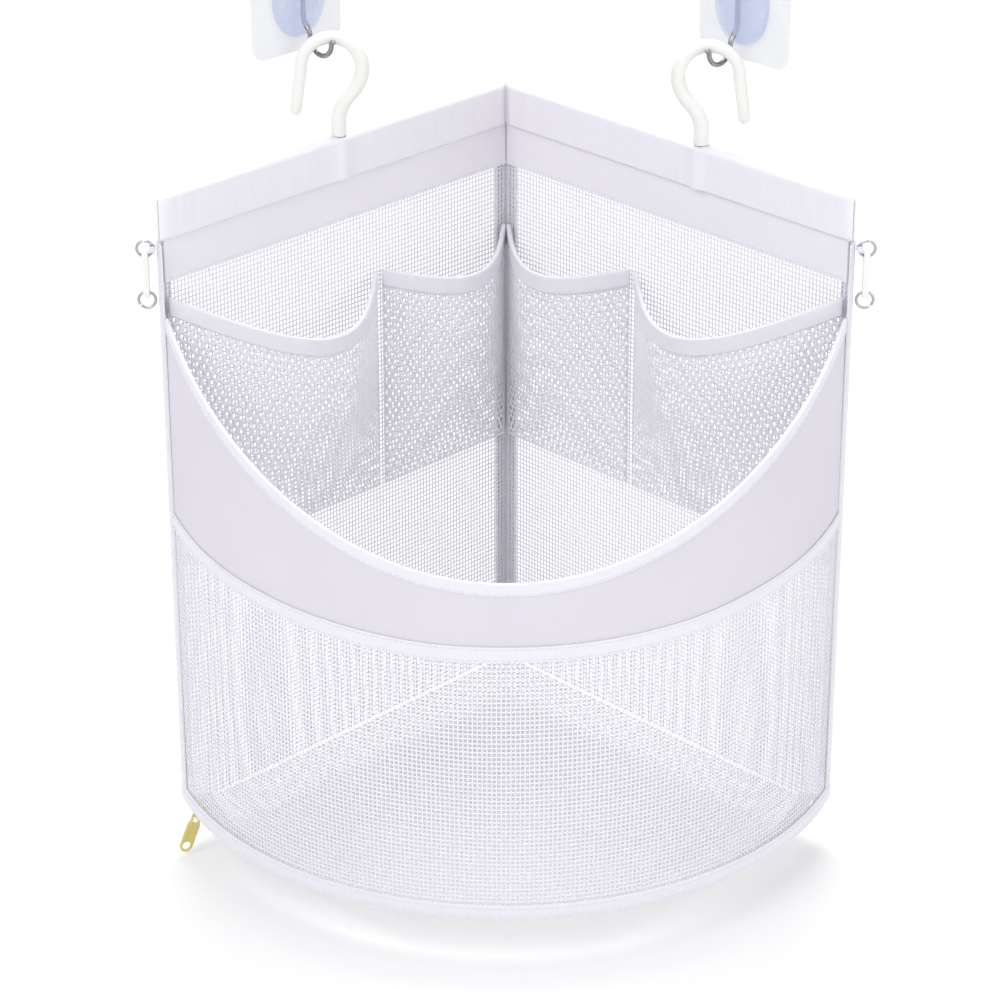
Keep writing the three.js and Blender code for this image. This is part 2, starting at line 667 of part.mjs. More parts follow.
function front() {
  const end = FRONT_END_ANGLE;
  const onSeam = (law, shift) => (angle) => law(angle) + shift;
  const bandTop = onSeam(rimHeight, -BINDING_WALL - TOUCH);
  const band = frontStrip(end, -FRONT_HALF, FRONT_HALF, onSeam(waistHeight, TOUCH / 2), bandTop);
  addMesh(group, 'front_band', band, makeSheer());
  const netTop = onSeam(waistHeight, -TOUCH / 2);
  const sheet = frontStrip(end, -FRONT_HALF, FRONT_HALF, () => NET_BOTTOM, netTop);
  const across = spread(-FRONT_HALF_ANGLE, FRONT_HALF_ANGLE, FRONT_NET_COLUMNS);
  const cuts = openCells(across, spread(0, 1, FRONT_NET_ROWS)).map(([first, last, low, high]) => {
    const heightAt = (angle, share) => NET_BOTTOM + (netTop(angle) - NET_BOTTOM) * share;
    return loft(
      [first, last],
      (angle) => rectangle(
        FRONT_RADIUS - NET_CUT_DEPTH, FRONT_RADIUS + NET_CUT_DEPTH,
        heightAt(angle, low), heightAt(angle, high),
      ),
      (angle, [radius, z]) => onFront(angle, radius, z),
    );
  });
  addMesh(group, 'front_net', cutAll(sheet, ...cuts), makeNet());

  const tapeIn = FRONT_HALF + TOUCH;
  const tapeEnd = FRONT_HALF_ANGLE - (BINDING_LEG + TOUCH) / FRONT_RADIUS;
  const rim = loft(
    frontAngles(tapeEnd),
    () => bindingOutline(FRONT_CLOTH, RIM_BINDING_HEIGHT),
    (angle, [off, z]) => onFront(angle, FRONT_RADIUS + off, rimHeight(angle) + z),
  );
  addMesh(group, 'rim_binding', rim, makeTape());

  const half = WAIST_TAPE_HEIGHT / 2;
  const tapeOut = tapeIn + TAPE;
  const waist = frontStrip(tapeEnd, tapeIn, tapeOut, onSeam(waistHeight, -half), onSeam(waistHeight, half));
  addMesh(group, 'waist_tape', waist, makeTape());
  const hemLow = BAG_TOP - BAG_HEIGHT;
  const hemTop = hemLow + BOTTOM_HEM_HEIGHT;
  const hem = frontStrip(FRONT_HALF_ANGLE, tapeIn, tapeOut, () => hemLow, () => hemTop);
  addMesh(group, 'bottom_hem', hem, makeTape());
}

// Net pouch on a back panel between two places along it
function pocketLaws({ from, to, dropFrom, dropTo, bulge }) {
  const swell = (t) => Math.sin(HALF_TURN * t);
  const mouthAt = (t) => BAG_TOP - dropFrom - (dropTo - dropFrom) * t - POCKET_DIP * swell(t);
  const offAt = (t, rise) => POCKET_SEAT + bulge * swell(t) * Math.sin((HALF_TURN / 2) * rise);
  const alongAt = (t) => from + (to - from) * t;
  return { mouthAt, offAt, alongAt };
}

function pocket(side, name, sizes) {
  const { mouthAt, offAt, alongAt } = pocketLaws(sizes);
  const stations = spread(0, 1, POCKET_STEPS);
  const low = BAG_TOP - POCKET_BOTTOM_DROP;
  const rises = spread(0, 1, POCKET_RISE_STEPS);
  const netTop = (t) => mouthAt(t) - BINDING_WALL - TOUCH;
  const knee = (t) => mouthAt(t) - POCKET_BINDING_HEIGHT - TOUCH;
  const net = loft(
    stations,
    (t) => {
      const inside = rises.map((rise) => [offAt(t, rise), low + (knee(t) - low) * rise]);
      inside.push([offAt(t, 1), netTop(t)]);
      const outside = inside.map(([off, z]) => [off + POCKET_CLOTH, z]).reverse();
      return [...inside, ...outside];
    },
    (t, [off, z]) => onPanel(side, alongAt(t), off, z),
  );
  addMesh(group, `${name}_net`, net, makeNet());

  const slotMiddle = POCKET_CLOTH / 2;
  const binding = loft(
    stations,
    () => bindingOutline(POCKET_CLOTH, POCKET_BINDING_HEIGHT),
    (t, [off, z]) => onPanel(side, alongAt(t), offAt(t, 1) + slotMiddle + off, mouthAt(t) + z),
  );
  addMesh(group, `${name}_binding`, binding, makeTape());
}

function pockets() {
  [[-1, 'left'], [1, 'right']].forEach(([side, sideName]) => {
    pocket(side, `inner_pocket_${sideName}`, {
      from: POCKET_CORNER_START,
      to: POCKET_SEAM - POCKET_SEAM_GAP / 2,
      dropFrom: POCKET_SEAM_DROP,
      dropTo: POCKET_SEAM_DROP,
      bulge: INNER_POCKET_BULGE,
    });
    pocket(side, `outer_pocket_${sideName}`, {
      from: POCKET_SEAM + POCKET_SEAM_GAP / 2,
      to: PANEL_WIDTH - SIDE_CLEARANCE,
      dropFrom: POCKET_SEAM_DROP,
      dropTo: POCKET_SIDE_DROP,
      bulge: OUTER_POCKET_BULGE,
    });
  });
}

// Angle at which a circle about the front's axis reaches the inner face of a back panel
function panelAngle(radius) {
  const reach = CORNER_Y - FRONT_CENTRE_Y - (BACK_HALF + TOUCH) * DIAGONAL;
  return HALF_TURN / 4 + Math.asin(reach / (DIAGONAL * radius));
}

// Sloped ring strip of the zip between two radii, cut off along the back panels
function zipStrip(innerRadius, outerRadius, thickness) {
  const outline = [[innerRadius, -1], [outerRadius, -1], [outerRadius, 1], [innerRadius, 1]];
  return loft(
    spread(-1, 1, FRONT_STEPS),
    () => outline,
    (share, [radius, face]) => onZip(share * panelAngle(radius), radius, (face * thickness) / 2),
  );
}

// Row of teeth on a cord: reach is -1 for teeth that point to the axis and 1 for teeth that point away
function teethRow(reach, firstAngle, count) {
  const pitch = TOOTH_PITCH / ZIP_RADIUS;
  const half = TOOTH_WIDTH / 2 / ZIP_RADIUS;
  const flank = TOOTH_FLANK / ZIP_RADIUS;
  const cordNear = ZIP_RADIUS - reach * TOOTH_ROOT;
  const cordFar = ZIP_RADIUS - reach * (TOOTH_ROOT + TOOTH_CORD);
  const tip = ZIP_RADIUS + reach * TOOTH_REACH;
  const stations = [];
  for (let i = 0; i < count; i += 1) {
    const middle = firstAngle + i * pitch;
    stations.push({ angle: middle - half - flank, edge: cordNear });
    stations.push({ angle: middle - half + flank, edge: tip });
    stations.push({ angle: middle + half - flank, edge: tip });
    stations.push({ angle: middle + half + flank, edge: cordNear });
  }
  return loft(
    stations,
    ({ edge }) => [[cordFar, -1], [edge, -1], [edge, 1], [cordFar, 1]],
    ({ angle }, [radius, face]) => onZip(angle, radius, (face * TOOTH_THICKNESS) / 2),
  );
}

// Local frame of the zip at an angle: X along the zip, Y to the axis and down the slope, Z up off the slope
function zipFrame(angle) {
  const along = new THREE.Vector3(Math.cos(angle), Math.sin(angle), 0);
  const out = new THREE.Vector3(Math.sin(angle), -Math.cos(angle), 0);
  const inwards = out.multiplyScalar(-Math.cos(ZIP_SLOPE)).setZ(-Math.sin(ZIP_SLOPE));
  const up = new THREE.Vector3().crossVectors(along, inwards);
  const frame = new THREE.Group();
  const matrix = new THREE.Matrix4().makeBasis(along, inwards, up);
  matrix.setPosition(...onFront(angle, ZIP_RADIUS, zipHeight(ZIP_RADIUS)));
  frame.applyMatrix4(matrix);
  group.add(frame);
  return frame;
}

function sliderGeometry() {
  const face = TOOTH_THICKNESS / 2 + SLIDER_ROOM;
  const half = SLIDER_LENGTH / 2;
  const wide = SLIDER_WIDTH / 2;
  const nose = SLIDER_NOSE_WIDTH / 2;
  const outline = [[-half, -wide], [half, -nose], [half, nose], [-half, wide]];
  const lowPlate = upright(outline, -face - SLIDER_PLATE, -face);
  const highPlate = upright(outline, face, face + SLIDER_PLATE);
  const postStart = -half + SLIDER_PLATE;
  const postBlock = block(
    postStart, postStart + SLIDER_POST_LENGTH,
    -SLIDER_POST_WIDTH / 2, SLIDER_POST_WIDTH / 2,
    -face - SLIDER_PLATE / 2, face + SLIDER_PLATE / 2,
  );
  const slit = ZIP_TAPE / 2 + SLIDER_ROOM;
  const flangeHeights = [[-face - SLIDER_PLATE / 2, -slit], [slit, face + SLIDER_PLATE / 2]];
  const flanges = [-1, 1].flatMap((edge) => {
    const flangeOutline = [
      [-half, edge * wide], [half, edge * nose],
      [half, edge * (nose - SLIDER_FLANGE)], [-half, edge * (wide - SLIDER_FLANGE)],
    ];
    return flangeHeights.map(([low, high]) => upright(flangeOutline, low, high));
  });
  const bridgeTop = -face - SLIDER_PLATE;
  const crown = bridgeTop - BRIDGE_OPENING;
  const span = BRIDGE_SPAN / 2;
  const width = BRIDGE_WIDTH / 2;
  const bridge = [
    block(-span, span, -width, width, crown - BRIDGE_BAR, crown),
    block(-span, -span + BRIDGE_BAR, -width, width, crown - BRIDGE_BAR / 2, bridgeTop + SLIDER_PLATE / 2),
    block(span - BRIDGE_BAR, span, -width, width, crown - BRIDGE_BAR / 2, bridgeTop + SLIDER_PLATE / 2),
  ];
  return joinAll(lowPlate, highPlate, postBlock, ...flanges, ...bridge);
}

// Height of the pull's swing axis in the zip's local frame
function pullAxisHeight() {
  return -TOOTH_THICKNESS / 2 - SLIDER_ROOM - SLIDER_PLATE - BRIDGE_OPENING / 2;
}

// Flat pull, hanging from its eye bar at the origin along -Z, with its face towards X
function pullGeometry() {
  const eyeTop = PULL_EYE_BAR / 2;
  const neck = PULL_NECK_WIDTH / 2;
  const wide = PULL_WIDTH / 2;
  const eyeEnd = eyeTop - PULL_EYE_BAR - PULL_EYE_LENGTH;
  const neckEnd = eyeEnd + PULL_EYE_BAR;
  const shoulder = eyeEnd - PULL_EYE_BAR;
  const end = eyeTop - PULL_LENGTH + wide;
  const shape = new THREE.Shape();
  shape.moveTo(-neck, eyeTop);
  shape.lineTo(-neck, neckEnd);
  shape.lineTo(-wide, shoulder);
  shape.lineTo(-wide, end);
  shape.absarc(0, end, wide, HALF_TURN, 2 * HALF_TURN, false);
  shape.lineTo(wide, shoulder);
  shape.lineTo(neck, neckEnd);
  shape.lineTo(neck, eyeTop);
  shape.closePath();
  const eye = new THREE.Path();
  const eyeHalf = PULL_EYE_WIDTH / 2;
  eye.moveTo(-eyeHalf, eyeTop - PULL_EYE_BAR);
  eye.lineTo(eyeHalf, eyeTop - PULL_EYE_BAR);
  eye.lineTo(eyeHalf, eyeEnd);
  eye.lineTo(-eyeHalf, eyeEnd);
  eye.closePath();
  const hole = new THREE.Path();
  hole.absarc(0, end, PULL_HOLE_DIAMETER / 2, 0, 2 * HALF_TURN, true);
  shape.holes.push(eye, hole);
  const plate = new THREE.ExtrudeGeometry(shape, {
    depth: PULL_THICKNESS,
    bevelEnabled: false,
    curveSegments: CORNER_STEPS,
  });
  plate.translate(0, 0, -PULL_THICKNESS / 2);
  const recessHalf = PULL_RECESS_WIDTH / 2;
  const recessTop = shoulder - PULL_EYE_BAR;
  const recesses = [-1, 1].map((face) => {
    const depths = [face * (PULL_THICKNESS / 2 - PULL_RECESS), face * PULL_THICKNESS];
    depths.sort((a, b) => a - b);
    return block(-recessHalf, recessHalf, recessTop - PULL_RECESS_LENGTH, recessTop, ...depths);
  });
  const pull = cutAll(plate, ...recesses);
  pull.rotateX(HALF_TURN / 2);
  pull.rotateZ(HALF_TURN / 2);
  return pull;
}

function zip() {
  const tapeOuterEdge = FRONT_RADIUS;
  const outerTape = zipStrip(ZIP_RADIUS + ZIP_TAPE_GAP, tapeOuterEdge, ZIP_TAPE);
  addMesh(group, 'zip_tape_outer', outerTape, makeTape());
  const innerEdge = ZIP_RADIUS - ZIP_TAPE_GAP;
  const innerTape = zipStrip(innerEdge - ZIP_TAPE_WIDTH, innerEdge, ZIP_TAPE);
  addMesh(group, 'zip_tape_inner', innerTape, makeTape());

  const endAngle = panelAngle(tapeOuterEdge) - ZIP_END_MARGIN / ZIP_RADIUS;
  const sliderAngle = endAngle - (STOP_LENGTH + SLIDER_LENGTH / 2 + TOUCH) / ZIP_RADIUS;
  const teethStart = -sliderAngle + TOOTH_WIDTH / ZIP_RADIUS;
  const teethEnd = endAngle - STOP_LENGTH / ZIP_RADIUS;
  const pitch = TOOTH_PITCH / ZIP_RADIUS;
  const count = Math.floor((teethEnd - teethStart) / pitch - 1);
  addMesh(group, 'zip_teeth_outer', teethRow(-1, teethStart, count), makeWhitePlastic());
  addMesh(group, 'zip_teeth_inner', teethRow(1, teethStart + pitch / 2, count), makeWhitePlastic());

  const stopWidth = ZIP_TAPE_GAP - ZIP_ROOM;
  [[-endAngle, 'start'], [endAngle, 'end']].forEach(([angle, name]) => {
    const stop = new THREE.BoxGeometry(STOP_LENGTH, 2 * stopWidth, STOP_HEIGHT);
    addMesh(zipFrame(angle), `zip_stop_${name}`, stop, makeBrass());
  });

  const carriage = zipFrame(-sliderAngle);
  addMesh(carriage, 'zip_slider', sliderGeometry(), makeBrass());
  const hanger = new THREE.Group();
  hanger.position.z = pullAxisHeight();
  carriage.add(hanger);
  addMesh(hanger, 'zip_pull', pullGeometry(), makeBrass());
}

// Floor of the bag: two straight sides under the back panels and an arc along the zip
function floorPanel() {
  const endAngle = panelAngle(FLOOR_RADIUS);
  const shape = new THREE.Shape();
  const middle = 1.5 * HALF_TURN;
  shape.absarc(0, FRONT_CENTRE_Y, FLOOR_RADIUS, middle - endAngle, middle + endAngle, false);
  shape.lineTo(...onPanel(1, BACK_HALF, BACK_HALF, 0).slice(0, 2));
  shape.closePath();
  const panel = new THREE.ExtrudeGeometry(shape, {
    depth: FLOOR_CLOTH,
    bevelEnabled: false,
    curveSegments: FRONT_STEPS,
  });
  panel.translate(0, 0, FLOOR_TOP - FLOOR_CLOTH);
  addMesh(group, 'floor_panel', panel, makeNet());
}

function ringGeometry(diameter) {
  const ring = new THREE.TorusGeometry((diameter - RING_WIRE) / 2, RING_WIRE / 2, RING_SIDES, RING_STEPS);
  ring.rotateX(HALF_TURN / 2);
  return ring;
}

// Sewn loop, ring, tab and lower ring at one side edge; the rings face the room
function sideLoop(side, sideName) {
  const ringRadius = (UPPER_RING_DIAMETER - RING_WIRE) / 2;
  const seamReach = HALF_CHORD + Math.abs(foldCorner(sideWalls(side), TAPE).x) + TOUCH;
  const ringReach = seamReach + TOUCH + UPPER_RING_DIAMETER / 2;
  const ringX = side * ringReach;
  const ringZ = BAG_TOP - LOOP_DROP;
  const place = new THREE.Group();
  place.position.set(ringX, CHORD_Y, ringZ);
  group.add(place);
  addMesh(place, `upper_ring_${sideName}`, ringGeometry(UPPER_RING_DIAMETER), makeSteel());

  // Hairpin of tape round the ring's inner wire, its legs running back to the side binding
  const innerRadius = ringRadius - RING_WIRE / 2;
  const sag = innerRadius - Math.sqrt(innerRadius ** 2 - (LOOP_HEIGHT / 2) ** 2);
  const hollow = RING_WIRE / 2 + TOUCH;
  const back = side * (seamReach - ringReach);
  const wireX = -side * ringRadius;
  const tip = wireX + side * (hollow + sag);
  const hairpin = [
    [back, -hollow - LOOP_TAPE], [tip + side * LOOP_TAPE, -hollow - LOOP_TAPE],
    [tip + side * LOOP_TAPE, hollow + LOOP_TAPE], [back, hollow + LOOP_TAPE],
    [back, hollow], [tip, hollow], [tip, -hollow], [back, -hollow],
  ];
  const loop = upright(side > 0 ? hairpin : hairpin.reverse(), -LOOP_HEIGHT / 2, LOOP_HEIGHT / 2);
  addMesh(place, `ring_loop_${sideName}`, loop, makeTape());

  const tabTop = -ringRadius;
  const tabShape = new THREE.Shape();
  const half = TAB_WIDTH / 2;
  tabShape.absarc(0, 0, half, 0, HALF_TURN, false);
  tabShape.absarc(0, -TAB_SPACING, half, HALF_TURN, 2 * HALF_TURN, false);
  [0, -TAB_SPACING].forEach((y) => {
    const hole = new THREE.Path();
    hole.absarc(0, y, TAB_HOLE_DIAMETER / 2, 0, 2 * HALF_TURN, true);
    tabShape.holes.push(hole);
  });
  const tab = new THREE.ExtrudeGeometry(tabShape, {
    depth: TAB_THICKNESS,
    bevelEnabled: false,
    curveSegments: CORNER_STEPS,
  });
  tab.translate(0, 0, -TAB_THICKNESS / 2);
  tab.rotateX(HALF_TURN / 2);
  tab.rotateZ(HALF_TURN / 2);
  tab.translate(0, 0, tabTop);
  addMesh(place, `loop_tab_${sideName}`, tab, makeTape());

  const lowerRing = ringGeometry(LOWER_RING_DIAMETER);
  lowerRing.translate(0, 0, tabTop - TAB_SPACING - (LOWER_RING_DIAMETER - RING_WIRE) / 2);
  addMesh(place, `lower_ring_${sideName}`, lowerRing, makeSteel());
}

[[-1, 'left'], [1, 'right']].forEach(([side, sideName]) => {
  wallHook(side, sideName);
  hangingGear(side, sideName);
  backPanel(side, sideName);
  sideLoop(side, sideName);
});
seamBindings();
front();
pockets();
floorPanel();
zip();

export default group;
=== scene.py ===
"""Corner bath toy organizer: a sewn net bag that hangs across a room corner from two wall hooks.

Cloth, net, tape and wire are made as flat or straight stock and then laid in their place on the bag.
Sizes are in metres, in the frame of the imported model: +Z up, the room corner at X = Y = 0, the room at -Y.
"""

import json
import math

import bpy
import numpy as np
from bpy.props import FloatProperty, FloatVectorProperty, PointerProperty
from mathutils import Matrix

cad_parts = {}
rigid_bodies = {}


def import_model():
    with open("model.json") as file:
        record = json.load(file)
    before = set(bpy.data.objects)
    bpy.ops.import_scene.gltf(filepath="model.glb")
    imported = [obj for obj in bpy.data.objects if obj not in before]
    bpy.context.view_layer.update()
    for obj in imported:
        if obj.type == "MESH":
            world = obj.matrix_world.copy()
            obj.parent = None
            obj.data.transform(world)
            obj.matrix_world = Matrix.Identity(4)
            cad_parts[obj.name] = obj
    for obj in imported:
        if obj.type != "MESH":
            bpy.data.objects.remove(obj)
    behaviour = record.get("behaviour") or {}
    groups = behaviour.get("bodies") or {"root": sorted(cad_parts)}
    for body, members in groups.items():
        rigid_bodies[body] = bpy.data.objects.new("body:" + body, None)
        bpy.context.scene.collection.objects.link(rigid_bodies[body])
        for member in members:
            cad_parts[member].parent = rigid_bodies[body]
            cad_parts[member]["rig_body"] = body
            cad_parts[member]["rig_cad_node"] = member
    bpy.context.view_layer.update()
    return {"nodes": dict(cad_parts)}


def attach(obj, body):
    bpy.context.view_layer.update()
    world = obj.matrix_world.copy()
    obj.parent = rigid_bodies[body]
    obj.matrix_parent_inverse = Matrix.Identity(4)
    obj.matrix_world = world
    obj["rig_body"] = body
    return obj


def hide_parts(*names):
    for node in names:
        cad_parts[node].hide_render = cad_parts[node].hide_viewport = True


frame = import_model()

bl_info = {
    "name": "Corner Bath Toy Organizer",
    "version": (1, 0, 0),
    "blender": (4, 5, 0),
    "location": "View3D > Sidebar > Organizer",
    "description": "Builds a hanging corner net bag with pockets, wall hooks and a zipped floor",
    "category": "Add Mesh",
}

MM = 0.001
SIDES = ((-1, "left"), (1, "right"))
ROOT2 = math.sqrt(2)

# Bag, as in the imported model
GAP = 0.3 * MM
SIDE_CLEARANCE = 2.6 * MM
BINDING_LEG = 7 * MM
PANEL_WIDTH = 242 * MM
PANEL_END = PANEL_WIDTH - SIDE_CLEARANCE
BAG_TOP = -71 * MM
BAG_BOTTOM = BAG_TOP - 342 * MM
NET_BOTTOM = BAG_BOTTOM + 2 * MM
CORNER_Y = -24.6 * MM * ROOT2
HALF_CHORD = PANEL_WIDTH / ROOT2
CHORD_Y = CORNER_Y - HALF_CHORD
SAGITTA = 120 * MM
FRONT_RADIUS = (HALF_CHORD**2 + SAGITTA**2) / (2 * SAGITTA)
FRONT_CENTRE_Y = CHORD_Y - SAGITTA + FRONT_RADIUS
FRONT_HALF = math.asin(HALF_CHORD / FRONT_RADIUS)
FRONT_END = FRONT_HALF - SIDE_CLEARANCE / FRONT_RADIUS
FRONT_ARC = 2 * FRONT_END * FRONT_RADIUS
TAPE_END = FRONT_HALF - (BINDING_LEG + GAP) / FRONT_RADIUS
RIM_DROP, RIM_SCOOP = 152 * MM, 95 * MM
WAIST_DROP, WAIST_SCOOP = 190 * MM, 17 * MM
HEM_START = 1.3 * MM
HEM_LOW = BAG_TOP - 24 * MM
BAND_LOW = BAG_TOP - 47 * MM
BAND_TOP = BAG_TOP - 22.4 * MM

# Hanger hooks and the wires under their crooks
HOOK_ALONG = {-1: 0.5 * PANEL_WIDTH, 1: 0.58 * PANEL_WIDTH}
CROOK_SHIFT = 3 * MM
CROOK_OFFSET = 5.0905 * MM

# Zip and floor
ZIP_SLOPE = math.radians(22)
ZIP_EDGE = NET_BOTTOM - 0.85 * MM
ZIP_RADIUS = FRONT_RADIUS - 5 * MM
ZIP_TAPE_GAP = 2.35 * MM
ZIP_TAPE_WIDTH = 9 * MM
FLOOR_RADIUS = ZIP_RADIUS - ZIP_TAPE_GAP - ZIP_TAPE_WIDTH - 0.45 * MM
FLOOR_LEAD = CORNER_Y - FRONT_CENTRE_Y

# Pockets
POCKET_LOW = BAG_TOP - 205 * MM
POCKET_SEAT = 1.9 * MM
POCKET_TAPE = 10 * MM
INNER_DROP, OUTER_DROP = 80 * MM, 54 * MM
POCKETS = {
    "inner_pocket": dict(
        start=4.2 * MM, stop=95 * MM, drops=(INNER_DROP, INNER_DROP), dip=9 * MM, bulge=24 * MM),
    "outer_pocket": dict(
        start=99 * MM, stop=PANEL_END, drops=(INNER_DROP, OUTER_DROP), dip=18 * MM, bulge=40 * MM),
}


# ---------------------------------------------------------------- places on the bag

def on_panel(side, along, off, z):
    """Point of a back panel: along it from the corner line, off it into the bag, and height."""
    return side * (along - off) / ROOT2, CORNER_Y - (along + off) / ROOT2, z


def scoop(angle):
    return 1 - np.cos(angle / FRONT_HALF * math.pi / 2)


def rim_height(angle):
    return BAG_TOP - RIM_DROP + RIM_SCOOP * scoop(angle)


def waist_height(angle):
    return BAG_TOP - WAIST_DROP + WAIST_SCOOP * scoop(angle)


def foot_height(angle):
    return BAG_BOTTOM + 0 * angle


def front_fullness(angle, z):
    """How far the front stands out of its drum shape: most at its middle, with soft ripples."""
    full = bpy.context.scene.organizer_cloth.front_fullness
    rise = np.clip((z - BAG_BOTTOM) / (rim_height(angle) - BAG_BOTTOM), 0, 1)
    across = np.clip(np.cos(np.clip(angle / FRONT_HALF, -1, 1) * math.pi / 2), 0, 1) ** 0.8
    broad = np.sin(9.3 * angle + 0.7) * np.sin(2 * math.pi * rise)
    fine = np.sin(17 * angle + 30 * z)
    return full * across * np.sin(math.pi * rise) * (1 + 0.16 * (broad + 0.6 * fine))


def on_front(angle, off, z):
    """Point of the bag's front: angle about its axis, distance off its middle surface, and height."""
    radius = FRONT_RADIUS + off + front_fullness(angle, z)
    return radius * np.sin(angle), FRONT_CENTRE_Y - radius * np.cos(angle), z


def along_front(law, drop=0.0, off=0.0, start=0.0):
    """Place of stock that runs along the front at the height that law gives for each angle."""
    def place(x, y, z):
        angle = x / FRONT_RADIUS - start
        return on_front(angle, off + z, law(angle) + drop + y)

    return place


def zip_height(radius):
    return ZIP_EDGE - (FRONT_RADIUS - radius) * math.tan(ZIP_SLOPE)


FLOOR_TOP = zip_height(FLOOR_RADIUS) - 0.7 * MM


def on_zip(angle, radius, lift):
    """Point of the zip: angle and distance about the front's axis, and lift off its sloped surface."""
    reach = radius - lift * math.sin(ZIP_SLOPE)
    height = zip_height(radius) + lift * math.cos(ZIP_SLOPE)
    return reach * np.sin(angle), FRONT_CENTRE_Y - reach * np.cos(angle), height


def panel_angle(radius):
    """Angle at which a circle about the front's axis reaches the inner face of a back panel."""
    reach = FLOOR_LEAD - 0.9 * MM * ROOT2
    return math.pi / 4 + np.arcsin(reach / (ROOT2 * radius))


def on_wall(side, off, across, z):
    """Point off the plane that a pad sticks to, counted from the pad's middle."""
    pad = HOOK_ALONG[side] / ROOT2 - CORNER_Y / 2 + (CROOK_SHIFT + CROOK_OFFSET) / 2
    return side * (pad - (off + across) / ROOT2), (across - off) / ROOT2 - pad, z


class PocketPlace:
    """Where a pocket's cloth lies: share of its own width, height, and lift off its surface."""

    def __init__(self, side, start, stop, drops, dip, bulge):
        self.side, self.start, self.stop = side, start, stop
        self.drops, self.dip, self.bulge = drops, dip, bulge
        self.shares = np.linspace(0, 1, 241)
        offs = bulge * np.sin(math.pi * self.shares)
        steps = np.hypot(np.diff(self.shares) * (stop - start), np.diff(offs))
        self.width = steps.sum()
        self.lengths = np.concatenate([[0], np.cumsum(steps)]) / self.width
        self.height = self.mouth(0.5) - POCKET_LOW

    def mouth(self, share):
        """Height of the mouth at a share of the pocket's stretch of panel."""
        first, last = self.drops
        return BAG_TOP - first - (last - first) * share - self.dip * np.sin(math.pi * share)

    def panel_share(self, width_share):
        return np.interp(width_share, self.lengths, self.shares)

    def at(self, width_share, z, lift):
        share = self.panel_share(width_share)
        knee = self.mouth(share) - POCKET_TAPE - GAP
        rise = np.clip((z - POCKET_LOW) / (knee - POCKET_LOW), 0, 1)
        swell = np.sin(math.pi / 2 * rise)
        span = self.stop - self.start
        slope = self.bulge * math.pi / span * np.cos(math.pi * share) * swell
        tilt = np.sqrt(1 + slope**2)
        along = self.start + span * share - lift * slope / tilt
        off = POCKET_SEAT + 0.5 * MM + self.bulge * np.sin(math.pi * share) * swell + lift / tilt
        return on_panel(self.side, along, off, z)

    def under_mouth(self, width_share, drop, lift):
        mouth = self.mouth(self.panel_share(width_share))
        return self.at(width_share, mouth - drop, lift)


BACK_OFF, FRONT_OFF = 1.3 * MM, 0.78 * MM


def folded_edge(point, walls):
    """Plan place of a tape folded round an upright edge; plan points are complex numbers, X + 1j * Y.

    Each wall has its outward direction, the direction along it, and how far off it the tape lies.
    """
    (out_a, run_a, off_a), (out_b, run_b, off_b) = walls
    across = (out_a.conjugate() * out_b).imag
    softness, soft_share = 0.175, 0.25
    middle = (out_a + out_b) * 0.5 * off_a

    def place(s, lift):
        a, b = off_a + lift, off_b + lift
        corner = -1j * (a * out_b - b * out_a) / across
        end = np.where(s < 0, out_a * a + run_a * BINDING_LEG, out_b * b + run_b * BINDING_LEG)
        reach = np.abs(s) / BINDING_LEG
        soft = softness * np.clip(1 - reach / soft_share, 0, 1) ** 2
        plan = point + corner + (end - corner) * reach + (middle - corner) * soft
        return plan.real, plan.imag

    return place


def side_place(side):
    """Fold of the tape at a side edge, from the back panel round to the front."""
    sine, cosine = math.sin(FRONT_HALF), math.cos(FRONT_HALF)
    back = (side + 1j) / ROOT2, (1j - side) / ROOT2, BACK_OFF
    front = side * sine - 1j * cosine, -side * cosine - 1j * sine, FRONT_OFF
    return folded_edge(side * HALF_CHORD + 1j * CHORD_Y, (back, front))


def corner_place():
    """Fold of the tape in the room corner, from one back panel to the other."""
    return folded_edge(1j * CORNER_Y, [((s + 1j) / ROOT2, (s - 1j) / ROOT2, BACK_OFF) for s in (-1, 1)])


# ---------------------------------------------------------------- stock and how it is laid

def deselect():
    bpy.ops.object.select_all(action="DESELECT")


def take(obj):
    deselect()
    obj.select_set(True)
    bpy.context.view_layer.objects.active = obj


def named(name):
    obj = bpy.context.object
    obj.name = name
    obj.data.name = name
    return obj


def begin(name, add, **settings):
    """Starts a piece from a primitive."""
    deselect()
    add(**settings)
    return named(name)


def edit(*steps):
    """Runs edit mode steps on the active piece, with all of it selected."""
    bpy.ops.object.mode_set(mode="EDIT")
    bpy.ops.mesh.select_all(action="SELECT")
    for step, settings in steps:
        step(**settings)
    bpy.ops.object.mode_set(mode="OBJECT")


def resize(*shares):
    edit((bpy.ops.transform.resize, {"value": shares}))


def edit_picked(obj, part, picked, step, **settings):
    """Runs one edit mode step on those edges or polygons of the active piece that are picked."""
    for face in obj.data.polygons:
        face.select = False
    for item in getattr(obj.data, part):
        item.select = bool(picked(item))
    bpy.context.tool_settings.mesh_select_mode = (False, part == "edges", part == "polygons")
    bpy.ops.object.mode_set(mode="EDIT")
    step(**settings)
    bpy.ops.object.mode_set(mode="OBJECT")


def edit_upright(obj, step, **settings):
    """Runs one edit mode step on the edges that run along the stock's Z."""
    heights = points_of(obj)[:, 2]
    half = np.ptp(heights) / 2
    edit_picked(obj, "edges", lambda edge: np.ptp(heights[list(edge.vertices)]) > half, step, **settings)


def modify(obj, kind, **settings):
    modifier = obj.modifiers.new(kind.title(), kind)
    for setting, value in settings.items():
        setattr(modifier, setting, value)
    bpy.context.view_layer.objects.active = obj
    bpy.ops.object.modifier_apply(modifier=modifier.name)
    return obj


def thicken(obj, thickness):
    return modify(obj, "SOLIDIFY", thickness=thickness, offset=0)


